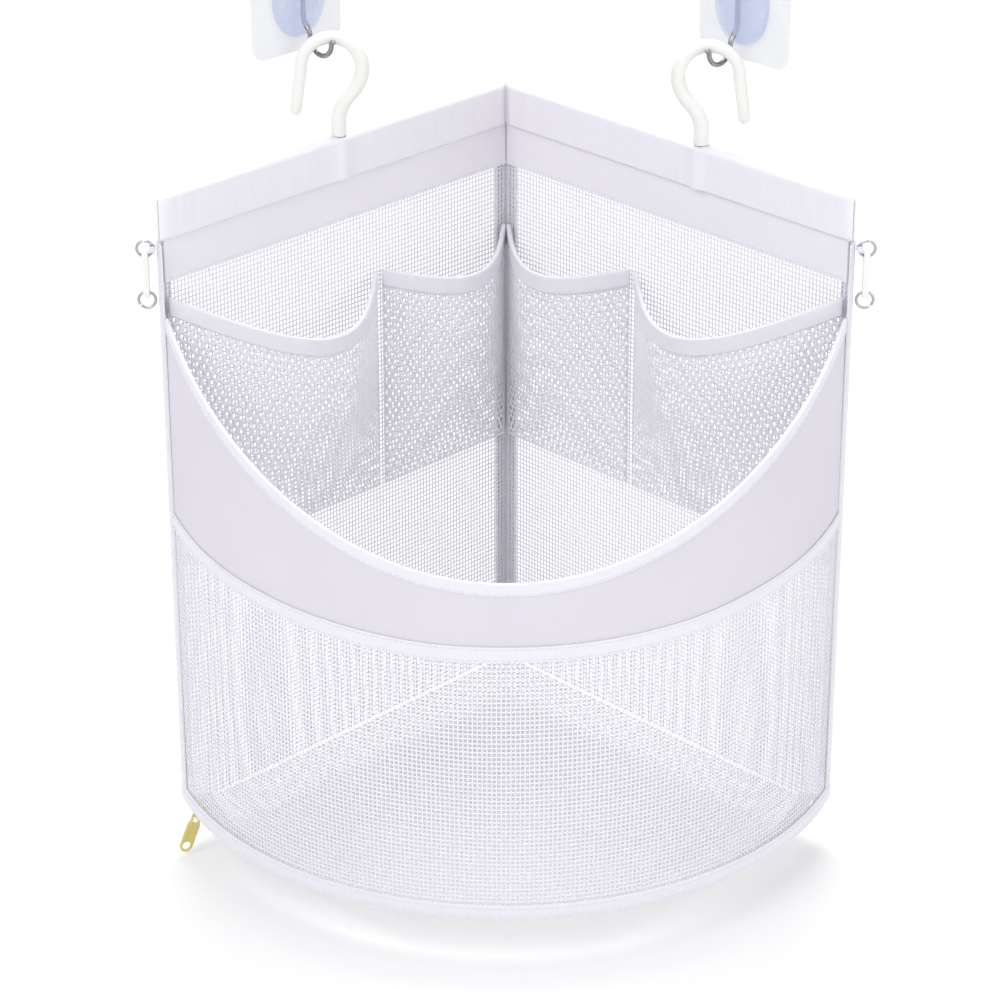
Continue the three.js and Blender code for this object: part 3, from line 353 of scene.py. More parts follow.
def round_edges(obj, width, segments, degrees=50):
    limit = math.radians(degrees)
    return modify(obj, "BEVEL", width=width, segments=segments, limit_method="ANGLE", angle_limit=limit)


def repeat(obj, count, step, **settings):
    return modify(
        obj, "ARRAY", count=count, use_relative_offset=False, use_constant_offset=True,
        constant_offset_displace=step, **settings,
    )


def cloth_stock(name, length, width, columns, rows, thickness=None):
    """Flat cloth with its middle at the origin, X along it."""
    obj = begin(name, bpy.ops.mesh.primitive_grid_add, x_subdivisions=columns, y_subdivisions=rows, size=1)
    resize(length, width, 1)
    return thicken(obj, thickness) if thickness else obj


def points_of(obj):
    flat = np.empty(len(obj.data.vertices) * 3, np.float32)
    obj.data.vertices.foreach_get("co", flat)
    return flat.reshape(-1, 3).astype(float)


def move_points(obj, points):
    obj.data.vertices.foreach_set("co", points.astype(np.float32).ravel())
    obj.data.update()


def lay(obj, place):
    """Keeps the flat cut as the piece's UV map, in metres, and moves every point to its place."""
    mesh = obj.data
    flat = points_of(obj)
    corners = np.empty(len(mesh.loops), np.int32)
    mesh.loops.foreach_get("vertex_index", corners)
    cut = mesh.uv_layers.active or mesh.uv_layers.new(name="flat_cut")
    cut.uv.foreach_set("vector", flat[corners][:, :2].astype(np.float32).ravel())
    move_points(obj, np.stack([np.broadcast_to(c, len(flat)) for c in place(*flat.T)], axis=1))
    return obj


def smooth(obj, degrees):
    take(obj)
    bpy.ops.object.shade_smooth_by_angle(angle=math.radians(degrees))
    return obj


def face_out(obj, degrees=40):
    """Turns all faces outwards and smooths the piece between its edges."""
    take(obj)
    edit((bpy.ops.mesh.normals_make_consistent, {"inside": False}))
    return smooth(obj, degrees)


def join(name, pieces):
    deselect()
    for piece in pieces:
        piece.select_set(True)
    bpy.context.view_layer.objects.active = pieces[0]
    bpy.ops.object.join()
    return named(name)


def bar_along(name, points, radii, sides):
    """Round bar whose rings follow a path in one plane; radii is one for all rings or one for each."""
    add = bpy.ops.mesh.primitive_cylinder_add
    obj = begin(name, add, vertices=sides, radius=1, depth=1, end_fill_type="NGON")
    edit_upright(obj, bpy.ops.mesh.subdivide, number_cuts=len(points) - 2)
    path = np.asarray(points, float)
    thick = np.broadcast_to(np.asarray(radii, float), len(path))
    along = np.gradient(path, axis=0)
    along /= np.linalg.norm(along, axis=1)[:, None]
    any_way, too_short = (0.123, 0.456, 0.789), 1e-9
    aims = np.vstack([path[len(path) // 2] - path[0], path - path[0], any_way])
    plane = next(normal for normal in np.cross(along[0], aims) if np.linalg.norm(normal) > too_short)
    plane /= np.linalg.norm(plane)
    across = np.cross(plane, along)
    lengths = np.concatenate([[0], np.cumsum(np.linalg.norm(np.diff(path, axis=0), axis=1))])
    x, y, z = points_of(obj).T
    ring = np.rint((z + 0.5) * (len(path) - 1)).astype(int)
    move_points(obj, np.stack([lengths[ring], np.arctan2(y, x) * thick.max(), thick[ring]], axis=1))
    laid = path[ring] + across[ring] * (x * thick[ring])[:, None] + plane * (y * thick[ring])[:, None]
    return face_out(lay(obj, lambda *_: laid.T))


def own_copy(node, name, bevel, segments=2, reshape=None):
    """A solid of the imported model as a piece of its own, with its edges rounded."""
    take(frame["nodes"][node])
    bpy.ops.object.duplicate()
    obj = named(name)
    obj.parent = None
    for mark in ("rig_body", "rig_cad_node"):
        del obj[mark]
    edit(
        (bpy.ops.mesh.remove_doubles, {"threshold": 0.01 * MM}),
        (bpy.ops.mesh.dissolve_limited, {"angle_limit": math.radians(1)}),
    )
    if reshape:
        move_points(obj, reshape(points_of(obj)))
    return smooth(round_edges(obj, bevel, segments, 35), 50)


def dress(obj, material):
    obj.data.materials.clear()
    obj.data.materials.append(material)


def settle(obj, body, kind, *nodes):
    """Gives a finished piece its body and its material, and hides the solids that it stands for."""
    slot, material = finish_of(kind)
    dress(obj, material)
    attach(obj, body)
    if nodes:
        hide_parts(*nodes)
    return obj


def sew(obj, kind, *nodes, degrees=40):
    """Finishes a laid piece and settles it on the bag."""
    return settle(face_out(obj, degrees), "bag", kind, *nodes)


# ---------------------------------------------------------------- finishes

def math_node(operation, swapped=False):
    """Method of a signal that adds one Math node."""
    def method(self, *others):
        terms = (*others, self) if swapped else (self, *others)
        return self.finish.node("ShaderNodeMath", dict(enumerate(terms)), operation=operation)

    return method


class Signal:
    """A shader socket that takes part in Python sums; each sum adds its Math node."""

    def __init__(self, finish, socket):
        self.finish, self.socket = finish, socket

    __add__ = __radd__ = math_node("ADD")
    __mul__ = __rmul__ = math_node("MULTIPLY")
    __sub__ = math_node("SUBTRACT")
    __rsub__ = math_node("SUBTRACT", swapped=True)
    most = math_node("MAXIMUM")
    sine = math_node("SINE")

    def wave(self):
        """Sine between 0 and 1."""
        return self.sine() * 0.5 + 0.5

    def beside(self, output):
        """Another output of the same node."""
        return Signal(self.finish, self.socket.node.outputs[output])


class Finish:
    """A material, or the world that is handed in, built from nodes."""

    def __init__(self, name, owner=None):
        self.material = owner or bpy.data.materials.new(name)
        self.material.use_nodes = True
        self.tree = self.material.node_tree
        self.tree.nodes.clear()
        self.output = self.tree.nodes.new("ShaderNodeOutputWorld" if owner else "ShaderNodeOutputMaterial")

    def node(self, kind, sockets=None, output=0, **settings):
        """Any node: its settings first, then the values or links of its sockets."""
        made = self.tree.nodes.new(kind)
        for setting, value in settings.items():
            setattr(made, setting, value)
        for socket, value in (sockets or {}).items():
            if isinstance(value, Signal):
                self.tree.links.new(value.socket, made.inputs[socket])
            else:
                made.inputs[socket].default_value = value
        return Signal(self, made.outputs[output])

    def flat_cut(self):
        """The two directions of the piece's own cut, in metres."""
        along = self.node("ShaderNodeSeparateXYZ", {0: self.node("ShaderNodeUVMap")})
        return along, along.beside(1)

    def object_place(self):
        return self.node("ShaderNodeTexCoord", output="Object")

    def noise(self, scale, detail, place=None):
        place = place or self.object_place()
        return self.node("ShaderNodeTexNoise", {"Vector": place, "Scale": scale, "Detail": detail})

    def mix(self, share, first, second):
        return self.node("ShaderNodeMix", {0: share, 6: first, 7: second}, 2, data_type="RGBA")

    def tones(self, share, colour, first, second):
        """From one tone of a colour to another."""
        return self.mix(share, shade(colour, first), shade(colour, second))

    def bump(self, height, distance, strength):
        return self.node("ShaderNodeBump", {"Height": height, "Distance": distance, "Strength": strength})

    def show(self, shader):
        self.tree.links.new(shader.socket, self.output.inputs["Surface"])
        return self.material

    def surface(self, **sockets):
        names = {name.replace("_", " "): value for name, value in sockets.items()}
        return self.show(self.node("ShaderNodeBsdfPrincipled", names))


def shade(colour, factor):
    return tuple(min(1.0, channel * factor) for channel in colour[:3]) + (1.0,)


def plain_weave(finish, colour, pitch, cover=None):
    """Woven cloth: warp over weft, threads that vary in weight, and soft wear."""
    along, across = finish.flat_cut()
    turn = 2 * math.pi / pitch
    warp = (along * turn).sine()
    weft = (across * turn).sine()
    weave = (warp * weft) * 0.5 + 0.5
    slub = finish.noise(260, 3.0)
    cloud = finish.noise(16, 3.0)
    wear = cloud * 0.6 + slub * 0.4
    base = finish.tones(wear, colour, 0.965, 1.02)
    tone = finish.mix(weave * 0.35, base, shade(colour, 0.93))
    height = weave * 0.7 + slub * 0.5
    sockets = dict(
        Base_Color=tone,
        Roughness=0.78 + 0.14 * slub,
        Normal=finish.bump(height, 0.00012, 0.5),
        Sheen_Weight=0.25, Sheen_Roughness=0.5, Specular_IOR_Level=0.3,
    )
    if cover is not None:
        sockets["Alpha"] = cover + 0.12 * (weave - 0.5) + 0.1 * (cloud - 0.5)
    return finish.surface(**sockets)


def strand_net(finish, colour, twist):
    """Knitted net strand: twisted yarn with a soft gloss."""
    along, across = finish.flat_cut()
    turns = ((along + across * 1.4) * (2 * math.pi / twist)).wave()
    fuzz = finish.noise(420, 2.0)
    base = finish.tones(fuzz, colour, 0.95, 1.03)
    return finish.surface(
        Base_Color=finish.mix(turns * 0.3, base, shade(colour, 0.9)),
        Roughness=0.55 + 0.25 * fuzz,
        Normal=finish.bump(turns * 0.7 + fuzz * 0.4, 0.00008, 0.5),
        Sheen_Weight=0.2, Specular_IOR_Level=0.35,
    )


def twill_tape(finish, colour, pitch):
    """Narrow binding tape with slanted ribs."""
    along, across = finish.flat_cut()
    turn = 2 * math.pi / pitch
    ribs = ((along + across) * turn).wave()
    picks = ((along - across) * (turn * 0.5)).wave()
    slub = finish.noise(220, 3.0)
    base = finish.tones(slub, colour, 0.95, 1.03)
    return finish.surface(
        Base_Color=finish.mix(ribs * picks * 0.4, base, shade(colour, 0.88)),
        Roughness=0.7 + 0.16 * slub,
        Normal=finish.bump(ribs * 0.6 + picks * 0.3 + slub * 0.3, 0.00012, 0.5),
        Sheen_Weight=0.2, Specular_IOR_Level=0.3,
    )


def sewing_thread(finish, colour):
    """Stitches: tight two-ply thread."""
    ply = finish.noise(900, 1.0)
    return finish.surface(
        Base_Color=finish.tones(ply, colour, 0.88, 1.04),
        Roughness=0.45 + 0.3 * ply,
        Normal=finish.bump(ply, 0.0001, 0.4),
        Sheen_Weight=0.15,
    )


def moulded_plastic(finish, colour, scale, roughness):
    """Moulded plastic: faint flow lines, handling marks and a soft skin."""
    flow = finish.noise(scale, 3.0)
    grain = finish.noise(1400, 2.0)
    return finish.surface(
        Base_Color=finish.tones(flow, colour, 0.955, 1.02),
        Roughness=roughness + 0.16 * flow + 0.05 * grain,
        Normal=finish.bump(grain * 0.4 + flow * 0.6, 0.00006, 0.35),
        Coat_Weight=0.25 * flow, Coat_Roughness=0.2, IOR=1.48,
        Subsurface_Weight=0.12, Subsurface_Radius=(0.006, 0.006, 0.005),
    )


def clear_plastic(finish, colour, roughness, bubbles, cover):
    """Clear film or moulding: faint clouds, small trapped bubbles and glossy skin."""
    place = finish.object_place()
    cells = finish.node("ShaderNodeTexVoronoi", {"Vector": place, "Scale": bubbles}, "Distance")
    rings = (1 - (cells * 5.0)).most(0.0)
    cloud = finish.noise(45, 3.0, place)
    return finish.surface(
        Base_Color=finish.tones(cloud, colour, 0.94, 1.03),
        Roughness=roughness + 0.12 * cloud,
        Alpha=cover + 0.1 * (cloud - 0.5) + 0.06 * rings,
        Normal=finish.bump(cloud * 0.5 + rings * 0.4, 0.0001, 0.3),
        Coat_Weight=0.4 + 0.3 * cloud, Coat_Roughness=0.08, IOR=1.47,
    )


def drawn_metal(finish, colour, roughness, dull):
    """Bright metal with fine drawing marks and dull spots where it is handled."""
    place = finish.object_place()
    drawn = finish.node("ShaderNodeVectorMath", {0: place, 1: (1.0, 1.0, 0.12)}, operation="MULTIPLY")
    marks = finish.noise(1600, 2.0, drawn)
    spots = finish.noise(120, 4.0, place)
    return finish.surface(
        Base_Color=finish.tones(spots, colour, 1.05, dull),
        Metallic=1.0,
        Roughness=roughness + 0.14 * marks + 0.12 * spots,
        Normal=finish.bump(marks * 0.6 + spots * 0.4, 0.00005, 0.35),
    )


# Kind of finish: its slot, its material's name, its colour, its maker and the maker's settings
FINISHES = {
    "cloth": ("cloth", "white_cloth", "cloth", plain_weave, dict(pitch=0.5 * MM)),
    "sheer": ("sheer_cloth", "sheer_band_cloth", "sheer", plain_weave, dict(pitch=0.45 * MM)),
    "net": ("fine_net", "fine_net_strand", "net", strand_net, dict(twist=0.9 * MM)),
    "pocket": ("pocket_net", "pocket_net_strand", "pocket", strand_net, dict(twist=1.1 * MM)),
    "tape": ("tape", "binding_tape", "tape", twill_tape, dict(pitch=0.9 * MM)),
    "thread": ("tape", "sewing_thread", "thread", sewing_thread, {}),
    "plastic": (
        "white_plastic", "milky_plastic", "plastic", moulded_plastic, dict(scale=70, roughness=0.32)),
    "teeth": ("zip_plastic", "zip_tooth_plastic", "tape", moulded_plastic, dict(scale=300, roughness=0.35)),
    "film": ("clear_film", "adhesive_film", "film", clear_plastic, dict(roughness=0.18, bubbles=260)),
    "dome": ("clear_dome", "tinted_dome", "dome", clear_plastic, dict(roughness=0.08, bubbles=180)),
    "steel": ("steel", "hook_steel", "steel", drawn_metal, dict(roughness=0.16, dull=0.75)),
    "plate": ("steel", "ring_plate", "plate", drawn_metal, dict(roughness=0.2, dull=0.9)),
    "brass": ("brass", "zip_brass", "brass", drawn_metal, dict(roughness=0.22, dull=0.8)),
}
MADE = {}


def finish_of(kind):
    """The slot and the material of a kind of finish, which is made when it is first asked for."""
    slot, name, colour, maker, settings = FINISHES[kind]
    if kind not in MADE:
        tints = bpy.context.scene.organizer_finish
        cover = getattr(tints, f"{kind}_cover", None)
        covers = {} if cover is None else {"cover": cover}
        MADE[kind] = maker(Finish(name), getattr(tints, colour), **settings, **covers)
    return slot, MADE[kind]


# ---------------------------------------------------------------- sizes and colours a user may change

def size(name, description, default, low, high):
    return FloatProperty(
        name=name, description=description, default=default * MM, min=low * MM, max=high * MM,
        unit="LENGTH", subtype="DISTANCE", precision=5,
    )


def colour(name, description, default):
    linear = [c / 12.92 if c <= 0.04045 else ((c + 0.055) / 1.055) ** 2.4 for c in default]
    return FloatVectorProperty(
        name=name, description=description, default=linear, size=3, min=0, max=1, subtype="COLOR",
    )


def cover(name, description, default):
    return FloatProperty(
        name=name, description=description, default=default, min=0, max=1, subtype="FACTOR",
    )


class OrganizerNet(bpy.types.PropertyGroup):
    mesh_pitch: size("Mesh Pitch", "Distance between strands of the fine net", 2.3, 1.5, 4)
    mesh_rise: size("Mesh Rise", "Height of a mesh of the fine net", 2.6, 1.5, 4)
    strand_width: size("Strand Width", "Width of a fine net strand", 0.6, 0.3, 1.2)
    strand_thickness: size("Strand Thickness", "Thickness of a fine net strand", 0.3, 0.15, 0.6)
    pocket_pitch: size("Pocket Pitch", "Distance between the holes of the pocket net", 4, 3, 8)
    pocket_strand: size("Pocket Strand", "Width of a pocket net strand", 1.75, 0.5, 3)
    pocket_thickness: size("Pocket Thickness", "Thickness of the pocket net", 0.85, 0.3, 1.2)


class OrganizerCloth(bpy.types.PropertyGroup):
    cloth: size("Cloth", "Thickness of the top hems' cloth", 0.8, 0.4, 1.2)
    sheer: size("Sheer Cloth", "Thickness of the front band", 0.5, 0.2, 0.8)
    tape: size("Tape", "Thickness of the binding tape", 0.7, 0.4, 0.9)
    front_fullness: size("Front Fullness", "How far the front stands out", 3, 0, 6)
    floor_sag: size("Floor Sag", "How far the floor hangs down", 5, 0, 9)
    back_ripple: size("Back Ripple", "Waves of the back nets", 0.9, 0, 1.5)


class OrganizerStitch(bpy.types.PropertyGroup):
    pitch: size("Stitch Pitch", "Distance between stitches", 3.2, 2, 6)
    length: size("Stitch Length", "Length of thread that shows", 2.4, 1, 5)
    width: size("Thread Width", "Thickness of the sewing thread", 0.55, 0.3, 1)


class OrganizerFinish(bpy.types.PropertyGroup):
    cloth: colour("Cloth", "Colour of the solid cloth", (0.93, 0.92, 0.945))
    sheer: colour("Sheer Cloth", "Colour of the front band", (0.895, 0.88, 0.915))
    sheer_cover: cover("Sheer Cover", "How much the front band hides", 0.86)
    net: colour("Fine Net", "Colour of the fine net", (0.915, 0.91, 0.93))
    pocket: colour("Pocket Net", "Colour of the pocket net", (0.915, 0.91, 0.93))
    tape: colour("Tape", "Colour of the bindings, the zip tapes and the teeth", (0.9, 0.895, 0.92))
    thread: colour("Thread", "Colour of the stitches", (0.875, 0.87, 0.9))
    plastic: colour("Hook Plastic", "Colour of the hanger hooks and the tabs", (0.925, 0.925, 0.91))
    film: colour("Film", "Colour of the adhesive pads", (0.93, 0.935, 0.95))
    film_cover: cover("Film Cover", "How much the pads hide", 0.45)
    dome: colour("Dome", "Colour of the domes on the pads", (0.78, 0.82, 0.95))
    dome_cover: cover("Dome Cover", "How much the domes hide", 0.36)
    steel: colour("Steel", "Colour of the wire hooks", (0.62, 0.62, 0.63))
    plate: colour("Ring Plate", "Colour of the plated rings", (0.72, 0.72, 0.74))
    brass: colour("Brass", "Colour of the zip's slider, pull and stops", (0.885, 0.835, 0.54))


# ---------------------------------------------------------------- pieces

def path_line(*points):
    return [np.array(p, float) for p in points]


def path_bezier(a, b, c, d, steps):
    t = np.linspace(0, 1, steps + 1)[1:, None]
    a, b, c, d = path_line(a, b, c, d)
    return list((1 - t) ** 3 * a + 3 * (1 - t) ** 2 * t * b + 3 * (1 - t) * t**2 * c + t**3 * d)


def path_arc(centre, radius, start, end, steps):
    x, z = centre
    angles = np.radians(np.linspace(start, end, steps + 1)[1:])
    return path_line(*((x + radius * math.cos(a), z + radius * math.sin(a)) for a in angles))


def round_tip(points, radii, reach):
    """Adds rings that close a bar's last end as a dome."""
    along = points[-1] - points[-2]
    along = along / np.linalg.norm(along)
    end, radius = points[-1], radii[-1]
    for angle in np.radians((25, 45, 62, 76, 86)):
        points.append(end + along * reach * math.sin(angle))
        radii.append(radius * math.cos(angle))


class WallKit(bpy.types.Operator):
    """Adhesive pads, clear domes and bent steel wires on the two walls"""

    bl_idname = "organizer.wall_kit"
    bl_label = "Wall Pads, Domes and Wires"

    def execute(self, context):
        path = self.wire_path()
        for side, name in SIDES:
            self.pad(side, name)
            self.dome(side, name, path)
            self.wire(side, name, path)
        return {"FINISHED"}

    def pad(self, side, name):
        width, thickness = 60 * MM, 1 * MM
        pad = begin(f"pad_film_{name}", bpy.ops.mesh.primitive_cube_add, size=1)
        resize(width, width, thickness)
        edit_upright(pad, bpy.ops.mesh.bevel, offset=8 * MM, segments=10, affect="EDGES")
        round_edges(pad, 0.3 * MM, 2)
        lay(pad, lambda x, y, z: on_wall(side, thickness / 2 + z, x, y))
        settle(face_out(pad, 30), "wall_hooks", "film", f"adhesive_pad_{name}")

    def wire_path(self):
        """The wire's middle line as points [off the wall, height], from its root to its turned-up tip."""
        root, top, reach, radius = 6.0, -10.0, 18.882, 8.0
        crook_height, crook_room, drop = 37, 9.5, 2.2
        rise = math.sqrt(crook_room**2 - (CROOK_OFFSET / MM) ** 2)
        bottom = BAG_TOP / MM + crook_height + rise - drop
        back, tip, bend = reach - radius, reach + radius, bottom + radius
        middle = (top + bend) / 2
        path = path_line((root, 6), (root, 1), (root, -5), (root, top))
        path += path_bezier((root, top), (root, middle), (back, middle), (back, bend), 12)
        path += path_arc((reach, bend), radius, 180, 360, 20)
        path += path_line((tip + 0.8, bend + 1), (tip + 1.3, bottom + 9))
        return [point * MM for point in path]

    def dome(self, side, name, path):
        seat, rim, height, radius, stretch, room = 1.3, 1.6, 8.4, 16.9, 44 / 34, 1.6 * MM
        profile = [(0, 16.6), (0.25, 16.95), (1.2, 17), (rim, radius)]
        angles = np.radians(np.linspace(4, 88, 20))
        profile += [(rim + height * math.sin(a), radius * math.cos(a)) for a in angles]
        points = [on_wall(side, (seat + off) * MM, 0, 0) for off, _ in profile]
        dome = bar_along(f"dome_{name}", points, [r * MM for _, r in profile], 56)
        edit((bpy.ops.transform.resize, {"value": (1, 1, stretch), "center_override": (0, 0, 0)}))
        channel = bar_along("channel", [on_wall(side, x, 0, z) for x, z in path], room, 16)
        take(dome)
        modify(dome, "BOOLEAN", operation="DIFFERENCE", object=channel, solver="EXACT")
        bpy.data.objects.remove(channel)
        settle(smooth(dome, 35), "wall_hooks", "dome", f"clear_dome_{name}")

    def wire(self, side, name, path):
        radius = 1.3 * MM
        points, radii = list(path), [1.1 * MM] + [radius] * (len(path) - 1)
        round_tip(points, radii, radius)
        wire = bar_along(f"wire_hook_{name}", [on_wall(side, x, 0, z) for x, z in points], radii, 18)
        settle(wire, "wall_hooks", "steel", f"steel_hook_{name}")


class HangerHooks(bpy.types.Operator):
    """White moulded hooks, each with the peg that turns in its socket"""

    bl_idname = "organizer.hanger_hooks"
    bl_label = "Hanger Hooks"

    def execute(self, context):
        shank_top, crook_side, crook_height, thick, tip = -63.7, 12.5, -34, 3.9, 3.1
        peg = (
            (-90.9, 2.9), (-90.6, 3.3), (-88.7, 3.3), (-88.4, 3.05), (-88.35, 2), (-80, 2), (-71.2, 2),
            (-70.7, 3.45), (-70.5, 3.75), (-69.9, thick), (-66, thick), (shank_top, thick),
        )
        points = path_line(*((0, height) for height, _ in peg))
        crook = path_bezier((0, shank_top), (0, -48.7), (crook_side, -49), (crook_side, crook_height), 12)
        crook += path_arc((-CROOK_SHIFT / MM, crook_height), 15.5, 0, 180, 30)
        crook += path_line((-19.3, -40), (-20.6, -49), (-21.55, -56.4))
        points += crook
        radii = [radius for _, radius in peg] + list(np.linspace(thick, tip, len(crook)))
        round_tip(points, radii, 3.4)
        for side, name in SIDES:
            x, y, _ = on_panel(side, HOOK_ALONG[side], 0, 0)
            path = [(x - side * p[0] * MM, y, p[1] * MM) for p in points]
            hook = bar_along(f"question_hook_{name}", path, [r * MM for r in radii], 28)
            settle(hook, f"{name}_hanger_hook", "plastic", f"hanger_hook_{name}")
            dress(frame["nodes"][f"hanger_strip_{name}"], finish_of("plastic")[1])
        return {"FINISHED"}


class TopHems(bpy.types.Operator):
    """Cloth channels folded over the hanger strips, and the solid bands below them"""

    bl_idname = "organizer.top_hems"
    bl_label = "Top Hems and Bands"

    def execute(self, context):
        start = 0.8 * MM
        length, height = PANEL_END - start, BAND_TOP - BAND_LOW
        middle = (BAND_TOP + BAND_LOW) / 2
        for side, name in SIDES:
            hem = self.hem(side, name, context.scene.organizer_cloth.cloth)
            band = cloth_stock(f"solid_band_{name}", length, height, 80, 12, 1 * MM)
            lay(band, lambda x, y, z: on_panel(side, start + length / 2 + x, z, middle + y))
            sew(band, "cloth", f"back_band_{name}")
        return {"FINISHED"}

    def hem(self, side, name, cloth):
        girth, length = 52 * MM, PANEL_WIDTH - HEM_START
        middle = HEM_START + length / 2
        hem = cloth_stock(f"strip_hem_{name}", length, girth, 160, 64)

        def at_hook(face):
            along = middle + face.center.x - HOOK_ALONG[side]
            return abs(along) < 2 * MM and abs(face.center.y) < 1.4 * MM

        edit_picked(hem, "polygons", at_hook, bpy.ops.mesh.delete, type="FACE")
        lay(hem, lambda x, y, z: self.on_hem(side, middle + x, y / girth * 2))
        return sew(thicken(hem, cloth), "cloth", f"top_hem_{name}")

    def on_hem(self, side, along, turn):
        """turn runs from -1 at the hem's wall side, over its top, to 1 at the hem's bag side."""
        cap, pinched = 0.16, 0.08
        flat, full, hook_room = 0.45 * MM, 2.8 * MM, 2.3 * MM
        to_end = PANEL_WIDTH - along
        near_hook = np.exp(-(((along - HOOK_ALONG[side]) / (4.4 * MM)) ** 2))
        from_end = np.clip(np.minimum(along - HEM_START, to_end) / (5 * MM), 0, 1)
        shut = np.clip(to_end / (2.4 * MM), 0, 1)
        pucker = 0.12 * MM * np.sin(along / MM * 0.45) + 0.08 * MM * np.sin(along / MM * 1.13 + turn)
        half = flat + (full + hook_room * near_hook - flat) * from_end**0.6 + pucker * shut
        top = np.clip(np.abs(turn) / cap, 0, 1) * math.pi / 2
        down = np.clip((np.abs(turn) - cap) / (1 - cap), 0, 1)
        pinch = np.clip((down - 1 + pinched) / pinched, 0, 1)
        edge = flat + 0.6 * MM * shut
        width = half + (edge - half) * (pinch**2 * (3 - 2 * pinch))
        crown = 2.4 * MM - 1.4 * MM * near_hook
        corner = 1.6 * MM * (1 - np.clip(to_end / (4 * MM), 0, 1)) ** 2
        fall = crown * (1 - np.cos(top)) + down * (23.6 * MM - crown) + corner * (1 - down)
        return on_panel(side, along, np.sign(turn) * width * np.sin(top), BAG_TOP - 0.4 * MM - fall)


class Nets(bpy.types.Operator):
    """Fine square nets of the front, the two back panels and the floor"""

    bl_idname = "organizer.nets"
    bl_label = "Fine Nets"

    def execute(self, context):
        self.sizes = context.scene.organizer_net
        self.cloth = context.scene.organizer_cloth
        front = self.front()
        for side, name in SIDES:
            self.back(side, name)
        self.floor()
        return {"FINISHED"}

    def net(self, name, node, *runs):
        """Two runs of like strands, each laid in its place; the run that crosses is a little thicker."""
        pieces = []
        for thicker, (length, count, pitch, segments, place) in zip((1, 1.15), runs):
            thickness = self.sizes.strand_thickness * thicker
            strand = cloth_stock("strand", length, self.sizes.strand_width, segments, 1, thickness)
            pieces.append(lay(repeat(strand, count, (0, pitch, 0)), place))
        return sew(join(name, pieces), "net", node)

    def front(self):
        pitch, rise = self.sizes.mesh_pitch, self.sizes.mesh_rise
        height, seam = 157 * MM, 0.2 * MM
        rows, columns = round(height / rise), round(FRONT_ARC / pitch)
        step = FRONT_ARC / (columns * pitch)

        def place(angle, share, lift):
            return on_front(angle, lift, NET_BOTTOM + share * (waist_height(angle) - seam - NET_BOTTOM))

        def level(x, y, z):
            return place(x / FRONT_RADIUS, (y + rise / 2) / (rows * rise), z)

        def upright(x, y, z):
            return place((y + pitch / 2) * step / FRONT_RADIUS - FRONT_END, x / height + 0.5, z)

        runs = (FRONT_ARC, rows, rise, 96, level), (height, columns, pitch, 14, upright)
        return self.net("square_net_front", "front_net", *runs)

    def back(self, side, name):
        pitch = self.sizes.mesh_pitch
        start, low, high = 1.2 * MM, FLOOR_TOP + GAP, BAND_LOW - GAP
        width, height = PANEL_END - start, high - low
        rows, columns = round(height / self.sizes.mesh_rise), round(width / pitch)

        def place(along, z, lift):
            return on_panel(side, along, self.slack(along, z) + lift, z)

        def level(x, y, z):
            return place(start + width / 2 + x, low + y + pitch / 2, z)

        def upright(x, y, z):
            return place(start + y + pitch / 2, (low + high) / 2 + x, z)

        runs = (width, rows, height / rows, 28, level), (height, columns, width / columns, 28, upright)
        net = self.net(f"square_net_{name}", f"back_net_{name}", *runs)

    def slack(self, along, z):
        """Waves of a back net between its seams, always away from the bag."""
        share = np.clip(along / PANEL_WIDTH, 0, 1)
        rise = np.clip((BAND_LOW - z) / (BAND_LOW - FLOOR_TOP), 0, 1)
        waves = 0.5 + 0.5 * np.sin(5.2 * math.pi * share + 0.8) * np.cos(3.1 * math.pi * rise)
        return -self.cloth.back_ripple * waves * np.sin(math.pi * share) * np.sin(math.pi * rise)

    def floor(self):
        pitch, sag = self.sizes.mesh_pitch, self.cloth.floor_sag
        corner, middle, full_sag_at = 0.9 * MM, FLOOR_TOP - 0.6 * MM, 1.6e-3
        count = round((self.reach(corner) - corner) / pitch) - 1

        def place(x, y, z, left=1):
            row = corner + y + pitch / 2
            along = corner + (x + 0.5) * (self.reach(row) - corner)
            plan_x, plan_y = left * (along - row) / ROOT2, FLOOR_LEAD - (along + row) / ROOT2
            edge = np.clip(1 - np.hypot(plan_x, plan_y) / FLOOR_RADIUS, 0, 1)
            sunk = np.clip(along * row * edge / full_sag_at, 0, 1) ** 0.8
            return plan_x, FRONT_CENTRE_Y + plan_y, middle + z - sag * sunk

        run = 1, count, pitch, 24
        net = self.net(
            "square_net_floor", "floor_panel", (*run, place), (*run, lambda x, y, z: place(x, y, z, -1)))

    def reach(self, row):
        """How far a floor strand runs from its panel to the zip."""
        x, y = row / ROOT2, FLOOR_LEAD - row / ROOT2
        square = FLOOR_LEAD**2 / 2 + FLOOR_RADIUS**2 - x**2 - y**2
        return FLOOR_LEAD / ROOT2 + np.sqrt(np.maximum(square, 1e-8))


